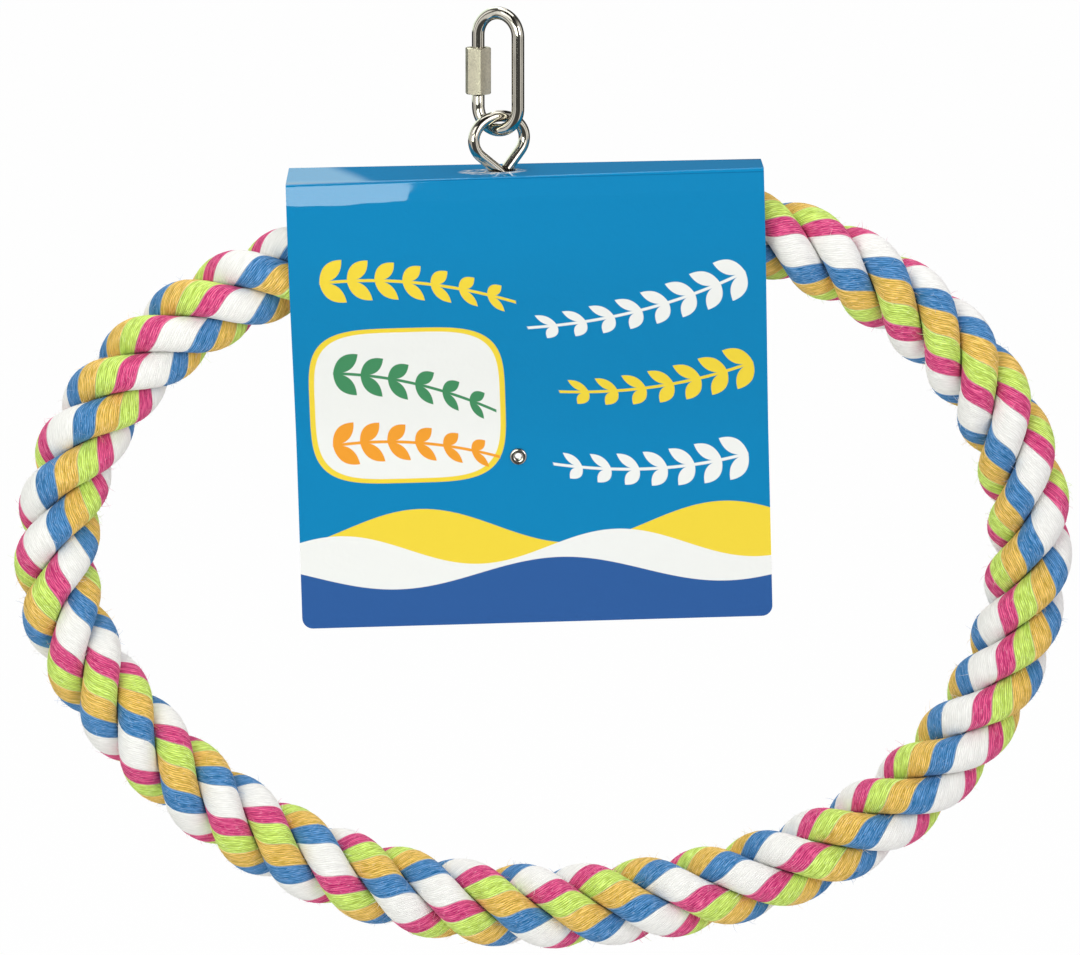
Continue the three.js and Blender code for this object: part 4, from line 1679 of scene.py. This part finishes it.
    def _pierce(self, card: bpy.types.Object) -> None:
        """Cuts the eye's hole in the crown and the eyelet's hole through both panels."""
        Bench.drill(card, 48, radius=self.eye_hole, depth=6)
        rivet = self.eyelet_bore + self.eyelet_wall + self.rivet_clearance
        middle = (self.eyelet_side, 0, -self.eyelet_drop)
        Bench.drill(card, 32, radius=rivet, depth=20, rotation=(math.pi / 2, 0, 0), location=middle)

    def _eyelet(self) -> bpy.types.Object:
        """Draws the barrel with a rolled rim on each face."""
        face = self.pinch_depth + self.thickness + self.eyelet_lift
        barrel = self.eyelet_bore + self.eyelet_wall
        middle = (self.eyelet_bore + self.eyelet_radius) / 2
        half = (self.eyelet_radius - self.eyelet_bore) / 2
        rim = [(barrel, face), (self.eyelet_radius - 0.1, face)]
        for step in range(13):
            angle = math.pi * step / 12
            rim.append((middle + half * math.cos(angle), face + 0.05 + self.eyelet_rim * math.sin(angle)))
        eyelet = Bench.lathe("rolled_eyelet", Bench.both_ends(rim), 56)
        turn = Matrix.Rotation(math.pi / 2, 4, "X")
        eyelet.data.transform(Matrix.Translation((self.eyelet_side, 0, -self.eyelet_drop)) @ turn)
        return eyelet


@dataclass(frozen=True)
class Softbox:
    """A square or oblong studio lamp that faces the object."""

    name: str
    place: tuple[float, float, float]
    size: tuple[float, float]
    power: float
    aim: tuple[float, float, float] = (0.01, 0.0, -0.15)
    tint: tuple[float, float, float] = (1.0, 1.0, 1.0)

    def build(self) -> None:
        """Hangs the lamp."""
        lamp = bpy.data.lights.new(self.name, "AREA")
        lamp.color = self.tint
        lamp.shape = "RECTANGLE"
        lamp.size, lamp.size_y = self.size
        lamp.energy = self.power
        holder = bpy.data.objects.new(self.name, lamp)
        holder.location = self.place
        view = Vector(self.aim) - Vector(self.place)
        holder.rotation_euler = view.to_track_quat("-Z", "Y").to_euler()
        holder.visible_camera = False
        bpy.context.scene.collection.objects.link(holder)


@dataclass
class Studio:
    """The pale floor, the soft light and the camera of the portrait."""

    eye: tuple[float, float, float] = (0.01312, -2.1666, 0.2367)
    tilt: float = math.radians(80)
    lens: float = 232.07
    sensor: float = 36.0
    floor_level: float = -0.62
    floor_size: float = 24.0
    floor_white: float = 0.985
    ambient: float = 0.52
    room: float = 0.08
    side_light: float = 1.3
    side_starts: tuple[float, float] = (0.6, 0.85)
    side_ends: tuple[float, float] = (1.5, 1.8)
    dark_stripe: tuple[float, float] = (0.04, 0.12)
    window_slope: float = 0.0365
    window_light: float = 1.5
    window_tint: Colour = (0.88, 1.0, 0.9, 1.0)

    def build(self) -> None:
        """Sets up the camera, the lamps, the world and the floor."""
        scene = bpy.context.scene
        scene.view_settings.view_transform = "Standard"
        self._camera(scene)
        for lamp in (
            Softbox(
                "window_softbox", (-0.41, -1.0, 0.13), (0.71, 0.36), 4.6,
                aim=(-0.41, 0.0, 0.13), tint=(0.97, 1.04, 0.94),
            ),
            Softbox("key_softbox", (-0.9, -1.3, 1.1), (1.0, 0.8), 5.0),
            Softbox("fill_softbox", (1.2, -1.4, 0.5), (0.9, 0.9), 8.0, tint=(1.0, 0.97, 1.02)),
            Softbox("top_softbox", (0.1, 0.2, 1.5), (1.4, 0.9), 9.0),
            Softbox("rear_softbox", (-0.2, 1.4, 1.3), (1.2, 0.8), 6.0),
        ):
            lamp.build()
        self._world(scene)
        self._floor()

    def _camera(self, scene: bpy.types.Scene) -> None:
        """Places the camera at the photograph's viewing angle."""
        lens = bpy.data.cameras.new("portrait")
        lens.lens = self.lens
        lens.sensor_width = self.sensor
        lens.sensor_fit = "HORIZONTAL"
        lens.clip_end = 100
        holder = bpy.data.objects.new("portrait", lens)
        holder.location = self.eye
        holder.rotation_euler = (self.tilt, 0, 0)
        scene.collection.objects.link(holder)
        scene.camera = holder

    @staticmethod
    def _rays(paint: Paint) -> tuple[Value, Value]:
        """Tells the rays that look straight at the background from those that see it in a reflection."""
        path = paint.node("ShaderNodeLightPath")
        camera, glossy, clear = (
            Value(paint, path.outputs[name])
            for name in ("Is Camera Ray", "Is Glossy Ray", "Is Transmission Ray")
        )
        return camera.most(clear), glossy

    def _sides(self, paint: Paint, right: Value, back: Value) -> Value:
        """Gives the room's light by level direction: bright at both sides, dim in front and behind.

        Args:
            paint: The paint of the world or the floor.
            right, back: The direction as seen from the object.

        Returns:
            The light, where 1 is white.
        """
        turn = paint.math("ARCTAN2", abs(right), back * -1)
        lit = turn.rise(*self.side_starts) * (1 - turn.rise(*self.side_ends))
        stripe = abs(turn - sum(self.side_starts + self.side_ends) / 4).rise(*self.dark_stripe)
        return lit * stripe * (1 - self.room) + self.room

    def _world(self, scene: bpy.types.Scene) -> None:
        """Makes the room: white to look at, soft as light, and streaked where metal reflects it."""
        world = bpy.data.worlds.new("studio_room")
        scene.world = world
        world.use_nodes = True
        paint = Paint(world.node_tree)
        straight, glossy = self._rays(paint)
        right, back, up = paint.parts(paint.node("ShaderNodeTexCoord").outputs["Generated"])
        window = (right * -1 - back * self.window_slope).rise(-0.002, 0.002) * back.rise(0.2, 0.5)
        level = 1 - up.rise(0.45, 0.8) * 0.85
        sides = self._sides(paint, right, back) * level * self.side_light
        mirrored = sides.most(window * self.window_light)
        strength = straight + glossy * mirrored + (1 - straight - glossy) * self.ambient
        hue = paint.mix(window * glossy, (1, 1, 1, 1), self.window_tint)
        sky = paint.node("ShaderNodeBackground", None, {"Color": hue, "Strength": strength})
        paint.node("ShaderNodeOutputWorld", None, {"Surface": sky.outputs[0]})

    def _floor(self) -> None:
        """Lays the white floor, which shows plain white and keeps part of the object's shadow."""
        floor = Bench.add(
            "studio_floor", bpy.ops.mesh.primitive_plane_add,
            size=self.floor_size, location=(0, 0, self.floor_level),
        )
        paint, material = Paint.material("studio_white")
        straight, glossy = self._rays(paint)
        right, back, _ = paint.parts(paint.place())
        light = straight + glossy * self._sides(paint, right, back)
        matt = paint.node("ShaderNodeBsdfDiffuse", None, {"Color": (0.8, 0.8, 0.8, 1)})
        glow = paint.node("ShaderNodeEmission", None, {"Color": (1, 1, 1, 1), "Strength": light})
        shown = (straight + glossy) * self.floor_white
        mixed = paint.node(
            "ShaderNodeMixShader", None, {0: shown, 1: matt.outputs[0], 2: glow.outputs[0]},
        )
        paint.node("ShaderNodeOutputMaterial", None, {"Surface": mixed.outputs[0]})
        floor.data.materials.append(material)


def main() -> None:
    """Builds the sub-assemblies in order, then the studio, and reports each piece."""
    logging.basicConfig(level=logging.INFO, format="%(name)s: %(message)s")
    for assembly in (RopeRing(), QuickLink(), EyeBolt(), EndJoint(), HangCard()):
        for piece in assembly.build():
            log.info("%s: %s, %d faces", type(assembly).__name__, piece.name, len(piece.data.polygons))
    Studio().build()


if __name__ == "__main__":
    main()
